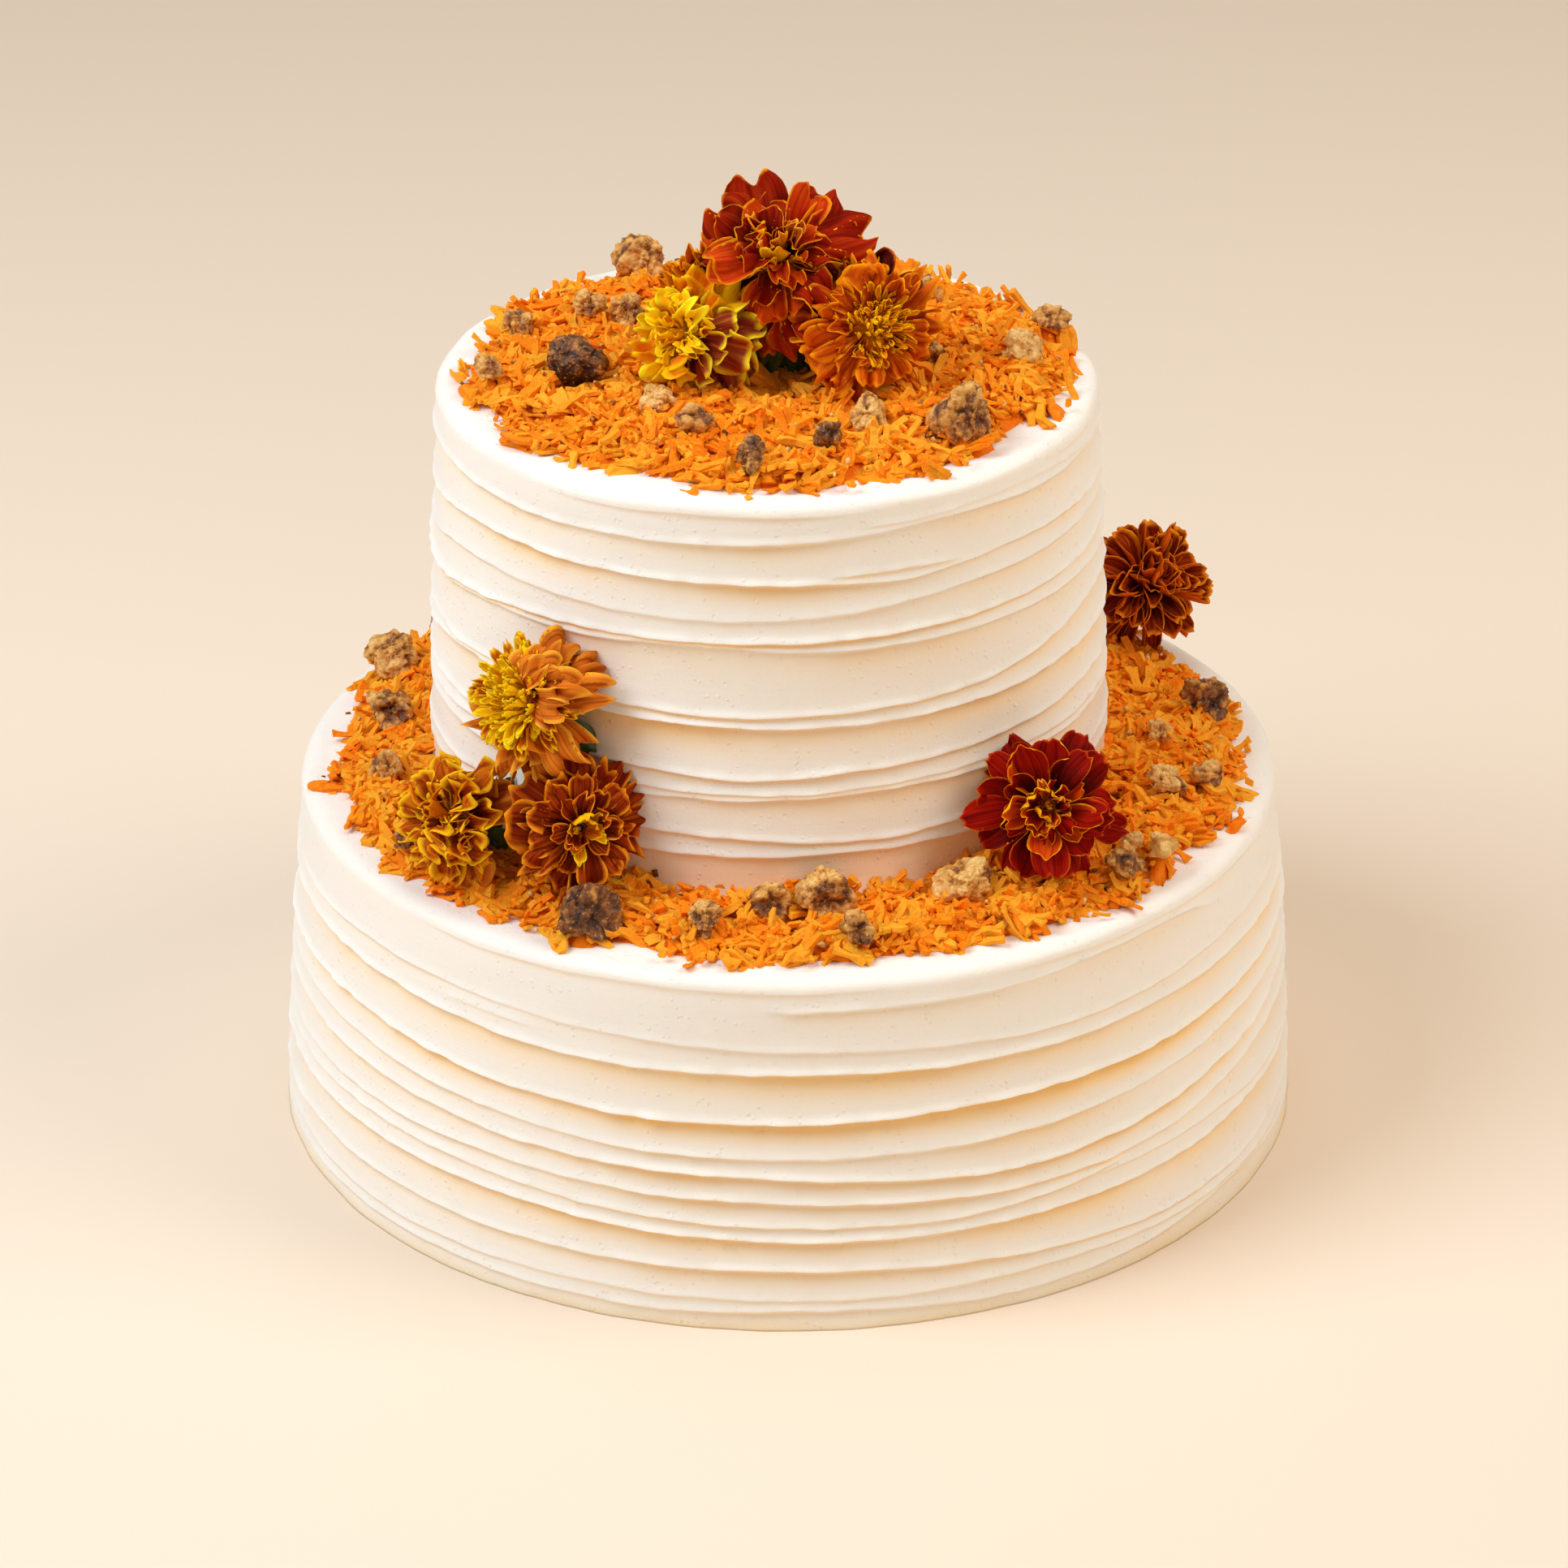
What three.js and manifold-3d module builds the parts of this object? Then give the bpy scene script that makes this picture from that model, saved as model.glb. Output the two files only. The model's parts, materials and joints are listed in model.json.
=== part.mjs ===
// A two-tier carrot cake: frosted tiers with palette-knife ledges, grated carrot strewn on both,
// marigold heads and candied walnut pieces.
// Millimetres, +Z up. The origin is the middle of the underside, and the front faces -Y.
// Azimuths are in degrees, 0 at the front and growing towards +X.
import * as THREE from "three";
import { mergeVertices } from "three/addons/utils/BufferGeometryUtils.js";
import Module from "manifold-3d";

const wasm = await Module();
wasm.setup();

// ---- Driving dimensions ----

// Ledges are listed from the top down as [height, [azimuth, rise, width], ...]: a lip runs round the tier
// at that height, and climbs or dips by each rise around that azimuth.
const LOWER_TIER = {
  name: "lower_tier",
  centre: new THREE.Vector2(0, 0),
  foot: 0,
  top: 85,
  footRadius: 119.6,
  topRadius: 113.4,
  segments: 38,
  ledges: [
    [78.0, [46, 2.4, 16]],
    [67.4, [-48, 4.0, 38], [34, -1.4, 16], [74, 2.2, 22]],
    [62.5, [-64, 2.1, 26], [6, 0.7, 18]],
    [51.2, [-58, 2.2, 20], [24, 1.0, 18], [76, 2.6, 28]],
    [42.4, [-58, 3.7, 34], [76, 5.2, 30]],
    [38.2, [-60, 2.3, 32], [27, -3.8, 22], [86, 4.6, 24]],
    [31.2, [-40, 2.0, 30], [30, -1.7, 18], [80, 4.8, 22]],
    [25.4, [-48, 3.5, 34], [44, 2.6, 14]],
    [21.6, [-38, 3.2, 34], [80, 1.8, 22]],
    [15.2, [-84, -2.8, 16], [52, -5.0, 34]],
    [7.4, [30, 1.2, 14]],
    [3.8, [4, 1.4, 12], [58, 2.2, 16]],
  ],
};
const UPPER_TIER = {
  name: "upper_tier",
  centre: new THREE.Vector2(-4.5, 0),
  foot: 85,
  top: 181.5,
  footRadius: 78.8,
  topRadius: 75.2,
  segments: 30,
  ledges: [
    [172.0, [34, 3.8, 20], [84, 5.6, 28]],
    [163.2, [-84, -3.4, 18], [78, 2.8, 24]],
    [154.4, [-84, -4.2, 16], [38, 3.2, 26], [84, 4.8, 26]],
    [149.4, [-80, -6.2, 28], [82, 2.8, 20]],
    [146.4, [-14, 2.0, 14]],
    [132.0, [-8, -0.6, 14], [76, 7.2, 30]],
    [129.2, [-84, -2.6, 14], [-62, 1.6, 20]],
    [118.0, [-4, -1.2, 10], [74, 1.6, 24]],
    [113.2, [-50, 2.2, 22]],
    [111.4, [20, 0.5, 14]],
    [101.6, [-34, 2.2, 20], [18, -1.2, 12]],
    [97.4, [12, 1.0, 24]],
  ],
};
const LEDGE_DEPTH = 1.3; // how far a band lies back under the lip above it
const UNDERCUT = 0.8; // height of the step under a lip
const LEAST_BAND = 1.1; // lips never come closer than this
const FULL_BAND = 6; // a band this high or more has the full depth
const RIM_ROUND = 3; // rounding of a tier's top edge
const FOOT_ROUND = 1.5; // rounding of a tier's bottom edge

const CARROT = { upperRadius: 68, lowerRadius: 107.5, depth: 5, edgeDepth: 2.6, uneven: 1.1 };
const HEAP_SEGMENTS = { upper: 32, lower: 42 };
const SOCKET_GAP = 0.35; // air between a topping and the carrot that it is pressed into
const PRESSED_SIZE = 8; // walnut pieces of this size or more are pressed in, and smaller ones lie on top
const TIER_GAP = 0.3; // air between the carrot ring and the upper tier

// Marigold heads as [name, middle of the ring of petals, [azimuth, elevation] that the face looks along,
// radius, tail, colour]. The tail is the green calyx and what is left of the stem behind the head.
const MARIGOLDS = [
  ["marigold_top_red", [-1.5, -12, 214], [0, 48], 17, 21, 0x8c1206],
  ["marigold_top_orange", [20.4, -22.9, 202.1], [24, 28], 13, 10, 0xc4500c],
  ["marigold_top_gold", [-23.2, -18.3, 199.2], [-54, 20], 12.5, 10, 0xe8a60c],
  ["marigold_top_back", [-18, 9, 202], [-150, 50], 12, 10, 0xa8540e],
  ["marigold_side_gold", [-58, -70.5, 133.5], [-38, 34], 14.5, 6, 0xeba40a],
  ["marigold_side_left", [-75, -67, 102], [-49, 17], 13, 9, 0xd88410],
  ["marigold_side_front", [-46, -80, 106], [6, 25], 14, 7, 0x9a3208],
  ["marigold_right", [57.4, -71, 106.5], [10, 30], 16.5, 9, 0x8e1408],
  ["marigold_back_right", [86, 54, 104], [30, 45], 14.5, 9, 0x8a3a08],
  ["marigold_back", [-24, 93, 106], [195, 38], 15, 9, 0xc4500c],
];
// Rows of a head from the calyx to its heart, as shares of its radius: [height, reach, wave of the outline].
const PETAL_ROWS = [
  [-0.22, 0.7, 0.05],
  [-0.02, 1, 0.08],
  [0.12, 0.86, 0.06],
  [0.3, 0.7, -0.07],
  [0.38, 0.44, -0.04],
  [0.5, 0.24, 0],
];
const PETAL_SCALLOPS = 6; // waves round a head's outline
const CALYX = { depth: 9, radius: 4.6, below: 0.42 }; // its top is this share of the radius below the petals
const STEM_RADIUS = { cut: 1.4, top: 1.8 };

// Walnut pieces on each tier as [azimuth, distance from the tier's axis, size].
const UPPER_WALNUTS = [
  [-150, 60, 14], [-101, 58, 10], [-76, 64, 6.5], [-76, 45.5, 13.5], [-118, 47, 7], [-122, 37.5, 10],
  [-38, 40, 9], [-19, 50, 7], [-3, 62.5, 8.5], [14, 56, 6], [28, 47, 10.5], [46, 61, 15],
  [87, 58.5, 10], [101, 66, 7], [76, 39.5, 5.5], [132, 50, 8], [164, 56, 10], [-172, 44, 7.5],
];
const LOWER_WALNUTS = [
  [-113, 103, 13], [-96, 95, 12], [-77, 95, 8.5], [-56, 105, 5.5], [-25.5, 103, 12], [-11, 97, 8.5],
  [-2.5, 88.5, 9.5], [5.5, 87, 12.5], [8.5, 102, 9], [26, 89, 12.5], [97, 100, 11.5], [86, 86, 7],
  [71, 92, 10.5], [74, 101, 6], [52, 97.5, 5.5], [53, 105, 6.5], [46, 104.5, 7], [131, 99, 9],
  [147, 90, 11], [162, 103, 8], [176, 92, 12], [-148, 100, 10], [-136, 91, 8], [-125, 99, 11],
];
const LARGE_WALNUT = 12.5; // a piece of this size or more is lobed
const WALNUT_SHAPE = new THREE.Vector3(1.12, 0.92, 0.82); // length, width and height as shares of the size
const WALNUT_RISE = { pressed: 0.18, lying: 0.46 }; // height of a piece's middle over the carrot, by its size
const WALNUT_CORNERS = 0.14; // how far a corner is pushed in or out
const CLEFT = { depth: 0.22, width: 0.16 }; // the groove over a lobed piece

const FROSTING = finish("frosting", 0xf6ead6, 0.6);
const GRATED_CARROT = finish("grated_carrot", 0xf08a1c, 0.65);
const WALNUT = finish("candied_walnut", 0xa67c4c, 0.7);

// ---- Helpers ----

function finish(name, color, roughness) {
  return new THREE.MeshStandardMaterial({ name, color, roughness, metalness: 0 });
}

// A number from -1 to 1 that is always the same for the same key.
function chance(key) {
  const s = Math.sin(key * 127.1 + 11.7) * 43758.5453;
  return 2 * (s - Math.floor(s)) - 1;
}

function polar(azimuth, radius, height, centre = new THREE.Vector2()) {
  const a = THREE.MathUtils.degToRad(azimuth);
  return new THREE.Vector3(centre.x + radius * Math.sin(a), centre.y - radius * Math.cos(a), height);
}

function aroundIn(segments) {
  return Array.from({ length: segments }, (_, i) => (360 * i) / segments);
}

// How near an azimuth is to a bump's middle: 1 there, and almost 0 two widths away.
function bump(azimuth, middle, width) {
  const away = ((azimuth - middle + 540) % 360) - 180;
  return Math.exp(-((away / width) ** 2));
}

// Joins rows of points that each go once round into one closed skin. Closed ends get a middle point each;
// without them the last row joins the first, as on a ring.
function skin(rows, closedEnds = true) {
  const across = rows[0].length;
  const points = rows.flat();
  const faces = [];
  const at = (row, i) => (row % rows.length) * across + (i % across);
  const bands = closedEnds ? rows.length - 1 : rows.length;
  for (let row = 0; row < bands; row++) {
    for (let i = 0; i < across; i++) {
      faces.push(at(row, i), at(row, i + 1), at(row + 1, i + 1));
      faces.push(at(row, i), at(row + 1, i + 1), at(row + 1, i));
    }
  }
  if (closedEnds) {
    const middle = (row) => row.reduce((sum, p) => sum.add(p), new THREE.Vector3()).divideScalar(across);
    points.push(middle(rows[0]), middle(rows.at(-1)));
    for (let i = 0; i < across; i++) {
      faces.push(at(0, i + 1), at(0, i), points.length - 2);
      faces.push(at(rows.length - 1, i), at(rows.length - 1, i + 1), points.length - 1);
    }
  }
  const geometry = new THREE.BufferGeometry().setFromPoints(points);
  geometry.setIndex(faces);
  return geometry;
}

function named(name, geometry, material) {
  const mesh = new THREE.Mesh(geometry, material);
  mesh.name = name;
  mesh.geometry.computeVertexNormals();
  return mesh;
}

function solidOf(geometry) {
  const bare = new THREE.BufferGeometry().setAttribute("position", geometry.getAttribute("position"));
  if (geometry.index) bare.setIndex(geometry.index);
  const merged = mergeVertices(bare, 1e-4);
  return new wasm.Manifold(
    new wasm.Mesh({
      numProp: 3,
      vertProperties: new Float32Array(merged.attributes.position.array),
      triVerts: new Uint32Array(merged.index.array),
    }),
  );
}

function geometryOf(solid) {
  const mesh = solid.getMesh();
  return new THREE.BufferGeometry()
    .setAttribute("position", new THREE.BufferAttribute(mesh.vertProperties, 3))
    .setIndex(new THREE.BufferAttribute(mesh.triVerts, 1));
}

// ---- Frosted tiers ----

// The heights of a tier's lips at one azimuth, from the top down. Each band also drifts a little of its own.
function lipHeights(tier, azimuth) {
  const heights = [];
  tier.ledges.forEach(([height, ...bumps], i) => {
    const drift = 0.35 * Math.sin(THREE.MathUtils.degToRad(3 * azimuth + 70 * i));
    const rise = bumps.reduce((sum, [middle, by, width]) => sum + by * bump(azimuth, middle, width), 0);
    const highest = i ? heights[i - 1] - LEAST_BAND : tier.top - RIM_ROUND - LEAST_BAND;
    heights.push(Math.min(height + drift + rise, highest));
  });
  return heights;
}

function wallRadius(tier, height) {
  const share = (height - tier.foot) / (tier.top - tier.foot);
  return THREE.MathUtils.lerp(tier.footRadius, tier.topRadius, share ** 1.3);
}

// How deep a band lies back, from its height and its place round the tier.
function bandDepth(bandHeight, index, azimuth) {
  const a = THREE.MathUtils.degToRad(azimuth);
  const varied = 1 + 0.3 * Math.sin(2 * a + 1.9 * index) * Math.cos(a - 0.7 * index);
  return LEDGE_DEPTH * varied * THREE.MathUtils.smoothstep(bandHeight, 0, FULL_BAND);
}

function frostedTier(tier) {
  const columns = aroundIn(tier.segments).map((azimuth) => {
    const lips = lipHeights(tier, azimuth);
    const point = (radius, height) => polar(azimuth, radius, height, tier.centre);
    const column = [
      point(tier.footRadius - FOOT_ROUND, tier.foot),
      point(tier.footRadius, tier.foot + FOOT_ROUND),
    ];
    for (let i = lips.length - 1; i >= 0; i--) {
      const below = i + 1 < lips.length ? lips[i + 1] : tier.foot;
      const depth = bandDepth(lips[i] - below, i, azimuth);
      const step = Math.min(UNDERCUT, (lips[i] - below) / 2);
      column.push(point(wallRadius(tier, lips[i]) - depth, lips[i] - step));
      column.push(point(wallRadius(tier, lips[i]), lips[i]));
    }
    column.push(point(tier.topRadius, tier.top - RIM_ROUND));
    column.push(point(tier.topRadius - RIM_ROUND * 0.3, tier.top - RIM_ROUND * 0.3));
    column.push(point(tier.topRadius - RIM_ROUND, tier.top));
    return column;
  });
  const rows = columns[0].map((_, row) => columns.map((column) => column[row]));
  return named(tier.name, skin(rows), FROSTING);
}

// ---- Marigolds ----

// A head stands on its own Z axis with its petals at height 0: stem, calyx, scalloped outer petals,
// a ruffled middle ring and a raised heart.
function marigold([name, at, [azimuth, elevation], radius, tail, colour]) {
  const calyxTop = -CALYX.below * radius;
  const calyxFoot = calyxTop - Math.min(CALYX.depth, tail - 0.5);
  const profile = [
    [calyxTop - tail, STEM_RADIUS.cut, 0],
    [calyxFoot, STEM_RADIUS.top, 0],
    [calyxTop, CALYX.radius, 0],
    ...PETAL_ROWS.map((row) => row.map((share) => share * radius)),
  ];
  const rows = profile.map(([height, reach, wave]) =>
    aroundIn(2 * PETAL_SCALLOPS).map((turn, i) =>
      polar(turn, reach + wave * (i % 2 ? -1 : 1), height),
    ),
  );
  const mesh = named(name, skin(rows), finish(name, colour, 0.7));
  mesh.position.set(...at);
  const facing = polar(azimuth, Math.cos(THREE.MathUtils.degToRad(elevation)), 0);
  facing.z = Math.sin(THREE.MathUtils.degToRad(elevation));
  mesh.quaternion.setFromUnitVectors(new THREE.Vector3(0, 0, 1), facing.normalize());
  return mesh;
}

// ---- Walnut pieces ----

// A broken, sugar-crusted piece: a many-sided ball with each corner pushed in or out.
// A large one has a cleft.
function walnut(name, [azimuth, distance, size], key, tier) {
  const large = size >= LARGE_WALNUT;
  const ball = large ? new THREE.IcosahedronGeometry(0.5, 1) : new THREE.DodecahedronGeometry(0.5);
  ball.deleteAttribute("normal");
  ball.deleteAttribute("uv");
  const geometry = mergeVertices(ball, 1e-3);
  const corners = geometry.getAttribute("position");
  const corner = new THREE.Vector3();
  for (let i = 0; i < corners.count; i++) {
    corner.fromBufferAttribute(corners, i);
    const cleft = large ? CLEFT.depth * Math.exp(-((corner.x / CLEFT.width) ** 2)) : 0;
    corner.multiplyScalar(1 + WALNUT_CORNERS * chance(key * 31 + i) - cleft).multiply(WALNUT_SHAPE);
    corners.setXYZ(i, ...corner.multiplyScalar(size));
  }
  const mesh = named(name, geometry, WALNUT);
  const rise = size >= PRESSED_SIZE ? WALNUT_RISE.pressed : WALNUT_RISE.lying;
  const height = tier.top + CARROT.depth + rise * size;
  mesh.position.copy(polar(azimuth, distance, height, tier.centre));
  mesh.rotation.z = Math.PI * chance(key + 0.5);
  return mesh;
}

function walnuts(prefix, places, tier, firstKey) {
  return places.map((place, i) =>
    walnut(`${prefix}_${String(i + 1).padStart(2, "0")}`, place, firstKey + i, tier),
  );
}

function pressedIn(pieces, places) {
  return pieces.filter((_, i) => places[i][2] >= PRESSED_SIZE);
}

// ---- Grated carrot ----

// The edge of a heap wanders in and out as the carrot fell.
function strewnEdge(radius, azimuth) {
  const a = THREE.MathUtils.degToRad(azimuth);
  return radius + 1.3 * Math.sin(5 * a + 0.6) + 1.1 * Math.sin(9 * a + 2.1) + 0.8 * chance(azimuth);
}

function heapHeight(azimuth, row) {
  return CARROT.depth + CARROT.uneven * 0.5 * (chance(azimuth * 3 + row) - 1);
}

function carrotDisc(tier) {
  const around = aroundIn(HEAP_SEGMENTS.upper);
  const row = (share, height) =>
    around.map((azimuth) => {
      const reach = share * strewnEdge(CARROT.upperRadius, azimuth);
      return polar(azimuth, reach, tier.top + height(azimuth), tier.centre);
    });
  const rows = [
    row(1, () => 0),
    row(1.0, () => CARROT.edgeDepth),
    row(0.9, (azimuth) => heapHeight(azimuth, 1)),
    row(0.6, (azimuth) => heapHeight(azimuth, 2)),
    row(0.3, (azimuth) => heapHeight(azimuth, 3)),
  ];
  return skin(rows);
}

function carrotRing(tier, above) {
  const around = aroundIn(HEAP_SEGMENTS.lower);
  const inner = above.footRadius + TIER_GAP;
  const row = (share, height) =>
    around.map((azimuth) => {
      const from = polar(azimuth, inner, 0, above.centre);
      const to = polar(azimuth, strewnEdge(CARROT.lowerRadius, azimuth), 0, tier.centre);
      return from.lerp(to, share).setZ(tier.top + height(azimuth));
    });
  const rows = [
    row(1, () => 0),
    row(1, () => CARROT.edgeDepth),
    row(0.75, (azimuth) => heapHeight(azimuth, 1)),
    row(0.35, (azimuth) => heapHeight(azimuth, 2)),
    row(0, (azimuth) => heapHeight(azimuth, 3)),
    row(0, () => 0),
  ];
  return skin(rows, false);
}

// The heap with a socket for each topping pressed into it: the topping's shape grown by the gap.
function pressedInto(geometry, toppings) {
  let heap = solidOf(geometry);
  for (const topping of toppings) {
    topping.updateMatrixWorld(true);
    const grown = topping.geometry.clone().applyMatrix4(topping.matrixWorld);
    grown.computeBoundingBox();
    const middle = grown.boundingBox.getCenter(new THREE.Vector3());
    const size = grown.boundingBox.getSize(new THREE.Vector3());
    const growth = 1 + (2 * SOCKET_GAP) / Math.min(size.x, size.y, size.z);
    grown.translate(-middle.x, -middle.y, -middle.z);
    grown.scale(growth, growth, growth);
    grown.translate(middle.x, middle.y, middle.z);
    heap = heap.subtract(solidOf(grown));
  }
  return geometryOf(heap);
}

// ---- The cake ----

const heads = MARIGOLDS.map(marigold);
const upperWalnuts = walnuts("walnut_upper", UPPER_WALNUTS, UPPER_TIER, 1);
const lowerWalnuts = walnuts("walnut_lower", LOWER_WALNUTS, LOWER_TIER, 101);

const cake = new THREE.Group();
cake.name = "carrot_cake";
cake.add(frostedTier(LOWER_TIER));
cake.add(frostedTier(UPPER_TIER));
const disc = pressedInto(carrotDisc(UPPER_TIER), [...heads, ...pressedIn(upperWalnuts, UPPER_WALNUTS)]);
cake.add(named("carrot_upper", disc, GRATED_CARROT));
const lying = [...heads, ...pressedIn(lowerWalnuts, LOWER_WALNUTS)];
cake.add(named("carrot_lower", pressedInto(carrotRing(LOWER_TIER, UPPER_TIER), lying), GRATED_CARROT));
cake.add(...heads, ...upperWalnuts, ...lowerWalnuts);

export default cake;
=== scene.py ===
"""Dresses a two-tier carrot cake over its CAD frame, in frosting, grated carrot, walnuts and marigolds.

Laid out as an add-on and run as a script. Shapes are worked out in millimetres and made in metres. The
origin is the middle of the underside, and the front faces -Y. Azimuths are in degrees, 0 at the front and
growing towards +X. Noise and random draws have fixed seeds, so each run makes the same cake.
"""

import itertools
import json
import math
from collections import namedtuple

import bmesh
import bpy
import numpy as np
from bpy.props import FloatProperty, FloatVectorProperty, IntProperty, PointerProperty
from mathutils import Matrix, Vector

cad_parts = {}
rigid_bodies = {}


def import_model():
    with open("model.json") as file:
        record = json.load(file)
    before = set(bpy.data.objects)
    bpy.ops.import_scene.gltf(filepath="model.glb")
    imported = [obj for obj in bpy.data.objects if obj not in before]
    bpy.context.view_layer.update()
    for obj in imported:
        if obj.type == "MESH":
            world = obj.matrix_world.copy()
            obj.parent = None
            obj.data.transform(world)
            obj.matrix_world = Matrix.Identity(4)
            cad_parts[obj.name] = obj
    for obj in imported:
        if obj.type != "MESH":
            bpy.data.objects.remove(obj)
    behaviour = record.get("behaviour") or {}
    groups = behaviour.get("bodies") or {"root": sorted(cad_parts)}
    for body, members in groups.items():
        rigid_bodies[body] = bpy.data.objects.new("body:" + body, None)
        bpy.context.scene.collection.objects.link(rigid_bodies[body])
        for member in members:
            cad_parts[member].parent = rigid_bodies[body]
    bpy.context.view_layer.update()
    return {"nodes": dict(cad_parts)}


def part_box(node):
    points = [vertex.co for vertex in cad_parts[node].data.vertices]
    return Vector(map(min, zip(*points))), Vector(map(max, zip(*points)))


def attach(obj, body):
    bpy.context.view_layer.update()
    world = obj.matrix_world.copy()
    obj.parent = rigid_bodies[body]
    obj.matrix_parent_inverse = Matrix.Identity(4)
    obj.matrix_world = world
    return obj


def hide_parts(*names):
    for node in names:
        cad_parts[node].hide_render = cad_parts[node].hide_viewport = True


bl_info = {
    "name": "Carrot Cake",
    "version": (1, 0, 0),
    "blender": (4, 5, 0),
    "location": "3D View > Sidebar > Cake",
    "description": "Frosted tiers with grated carrot, candied walnuts and marigold heads",
    "category": "Object",
}

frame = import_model()

MM = 0.001
FULL_CIRCLE = 360.0
BODY = "root"


# ---- Settings ----


def shade(name, description, colour):
    """A colour that a user may change, as linear red, green and blue."""
    return FloatVectorProperty(
        name=name, description=description, subtype="COLOR", size=3, min=0, max=1, default=colour
    )


def length(name, description, millimetres, largest=100.0):
    """A length in metres, given here in millimetres."""
    return FloatProperty(
        name=name,
        description=description,
        default=millimetres * MM,
        min=0,
        max=largest * MM,
        precision=4,
        subtype="DISTANCE",
        unit="LENGTH",
    )


def share(name, description, value):
    """A share from 0 to 1."""
    return FloatProperty(name=name, description=description, default=value, min=0, max=1, subtype="FACTOR")


def per_square_cm(name, description, value, largest):
    """How many things lie in each square centimetre."""
    return FloatProperty(name=name, description=description, default=value, min=0, max=largest)


class FrostingSettings(bpy.types.PropertyGroup):
    """The cream frosting and the ledges that the palette knife left in it."""

    colour: shade("Colour", "Frosting on the wall", (0.92, 0.88, 0.83))
    # The lip colour is a painted highlight: lighter where the beads and the top catch the light.
    lip_highlight_colour: shade("Lip colour", "Frosting on the lips and on top", (0.95, 0.93, 0.89))
    # The recess colour is painted shade, warm as if lit by bounce light.
    recess_shade_colour: shade("Recess colour", "Frosting deep under a lip", (0.97, 0.64, 0.27))
    ledge_depth: length("Ledge depth", "How far a band lies back under the lip above it", 1.45, 4)
    bead: length("Bead", "How far the lip stands out in a bead of its own", 0.65, 2)
    grain: share("Grain", "Strength of the fine grain and pits", 0.35)


class CarrotSettings(bpy.types.PropertyGroup):
    """The grated carrot strewn on both tiers."""

    pale: shade("Pale", "Dry, lit edges of the shreds", (1.0, 0.42, 0.024))
    orange: shade("Orange", "Most shreds", (1.0, 0.28, 0.005))
    # Deep also serves as painted shade on the bed, which shows in the gaps between the shreds.
    deep: shade("Deep", "Moist carrot between the shreds", (0.9, 0.12, 0.001))
    density: per_square_cm("Density", "Shreds in each square centimetre of heap", 24, 60)
    seed: IntProperty(name="Seed", description="Which random heap is strewn", default=3, min=0)


class WalnutSettings(bpy.types.PropertyGroup):
    """The candied walnut pieces."""

    cream: shade("Cream", "Broken white flesh", (0.86, 0.57, 0.2))
    tan: shade("Tan", "Toasted flesh under the sugar", (0.64, 0.3, 0.055))
    brown: shade("Brown", "Skin", (0.25, 0.08, 0.015))
    dark: shade("Dark", "Burnt sugar", (0.04, 0.01, 0.003))
    sugar: shade("Sugar", "Grains of sugar crust", (0.84, 0.57, 0.24))
    grain: length("Grain", "Distance between the sugar grains", 1.0, 5)
    crumbs: per_square_cm("Crumbs", "Crumbs in each square centimetre of heap", 1.6, 20)


class MarigoldSettings(bpy.types.PropertyGroup):
    """The marigold heads."""

    crimson: shade("Crimson", "Velvety red petals", (0.33, 0.005, 0.001))
    # Maroon darkens throats, partly as painted shade deep in the heads.
    maroon: shade("Maroon", "Dark throats and bases", (0.05, 0.001, 0.001))
    rust: shade("Rust", "Orange-brown petals", (0.7, 0.12, 0.004))
    gold: shade("Gold", "Edges and yellow petals", (1.0, 0.58, 0.003))
    green: shade("Green", "Calyx and stem", (0.02, 0.05, 0.01))
    thickness: length("Thickness", "Thickness of a petal", 0.28, 2)


class StageSettings(bpy.types.PropertyGroup):
    """The floor, the lights and the camera."""

    floor: shade("Floor", "Pale floor", (0.85, 0.74, 0.62))
    lens: FloatProperty(
        name="Lens",
        description="Focal length",
        default=136.5,
        min=10,
        max=1000,
        unit="CAMERA",
    )
    distance: length("Distance", "From the camera to the point that it looks at", 1400, largest=5000)
    elevation: FloatProperty(
        name="Elevation",
        description="How far the camera looks down",
        default=math.radians(26.434),
        min=0,
        max=math.radians(90),
        subtype="ANGLE",
        unit="ROTATION",
    )


# ---- Sums of sockets, and node trees ----


class Number:
    """A number socket of a node tree. Each operator adds one Math node."""

    def __init__(self, graph, socket):
        self.graph = graph
        self.socket = socket

    def __add__(self, other):
        return self.graph.maths("ADD", self, other)

    __radd__ = __add__

    def __sub__(self, other):
        return self.graph.maths("SUBTRACT", self, other)

    def __rsub__(self, other):
        return self.graph.maths("SUBTRACT", other, self)

    def __mul__(self, other):
        return self.graph.maths("MULTIPLY", self, other)

    __rmul__ = __mul__

    def __abs__(self):
        return self.graph.maths("ABSOLUTE", self)

    def larger(self, other):
        return self.graph.maths("MAXIMUM", self, other)

    def clamped(self):
        return self.graph.node("ShaderNodeClamp", None, {"Value": self})

    def ramped(self, low, high):
        """0 below low, 1 above high, and smooth between them."""
        settings = {"interpolation_type": "SMOOTHSTEP"}
        sockets = {"Value": self, "From Min": low, "From Max": high}
        return self.graph.node("ShaderNodeMapRange", settings, sockets)


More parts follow.
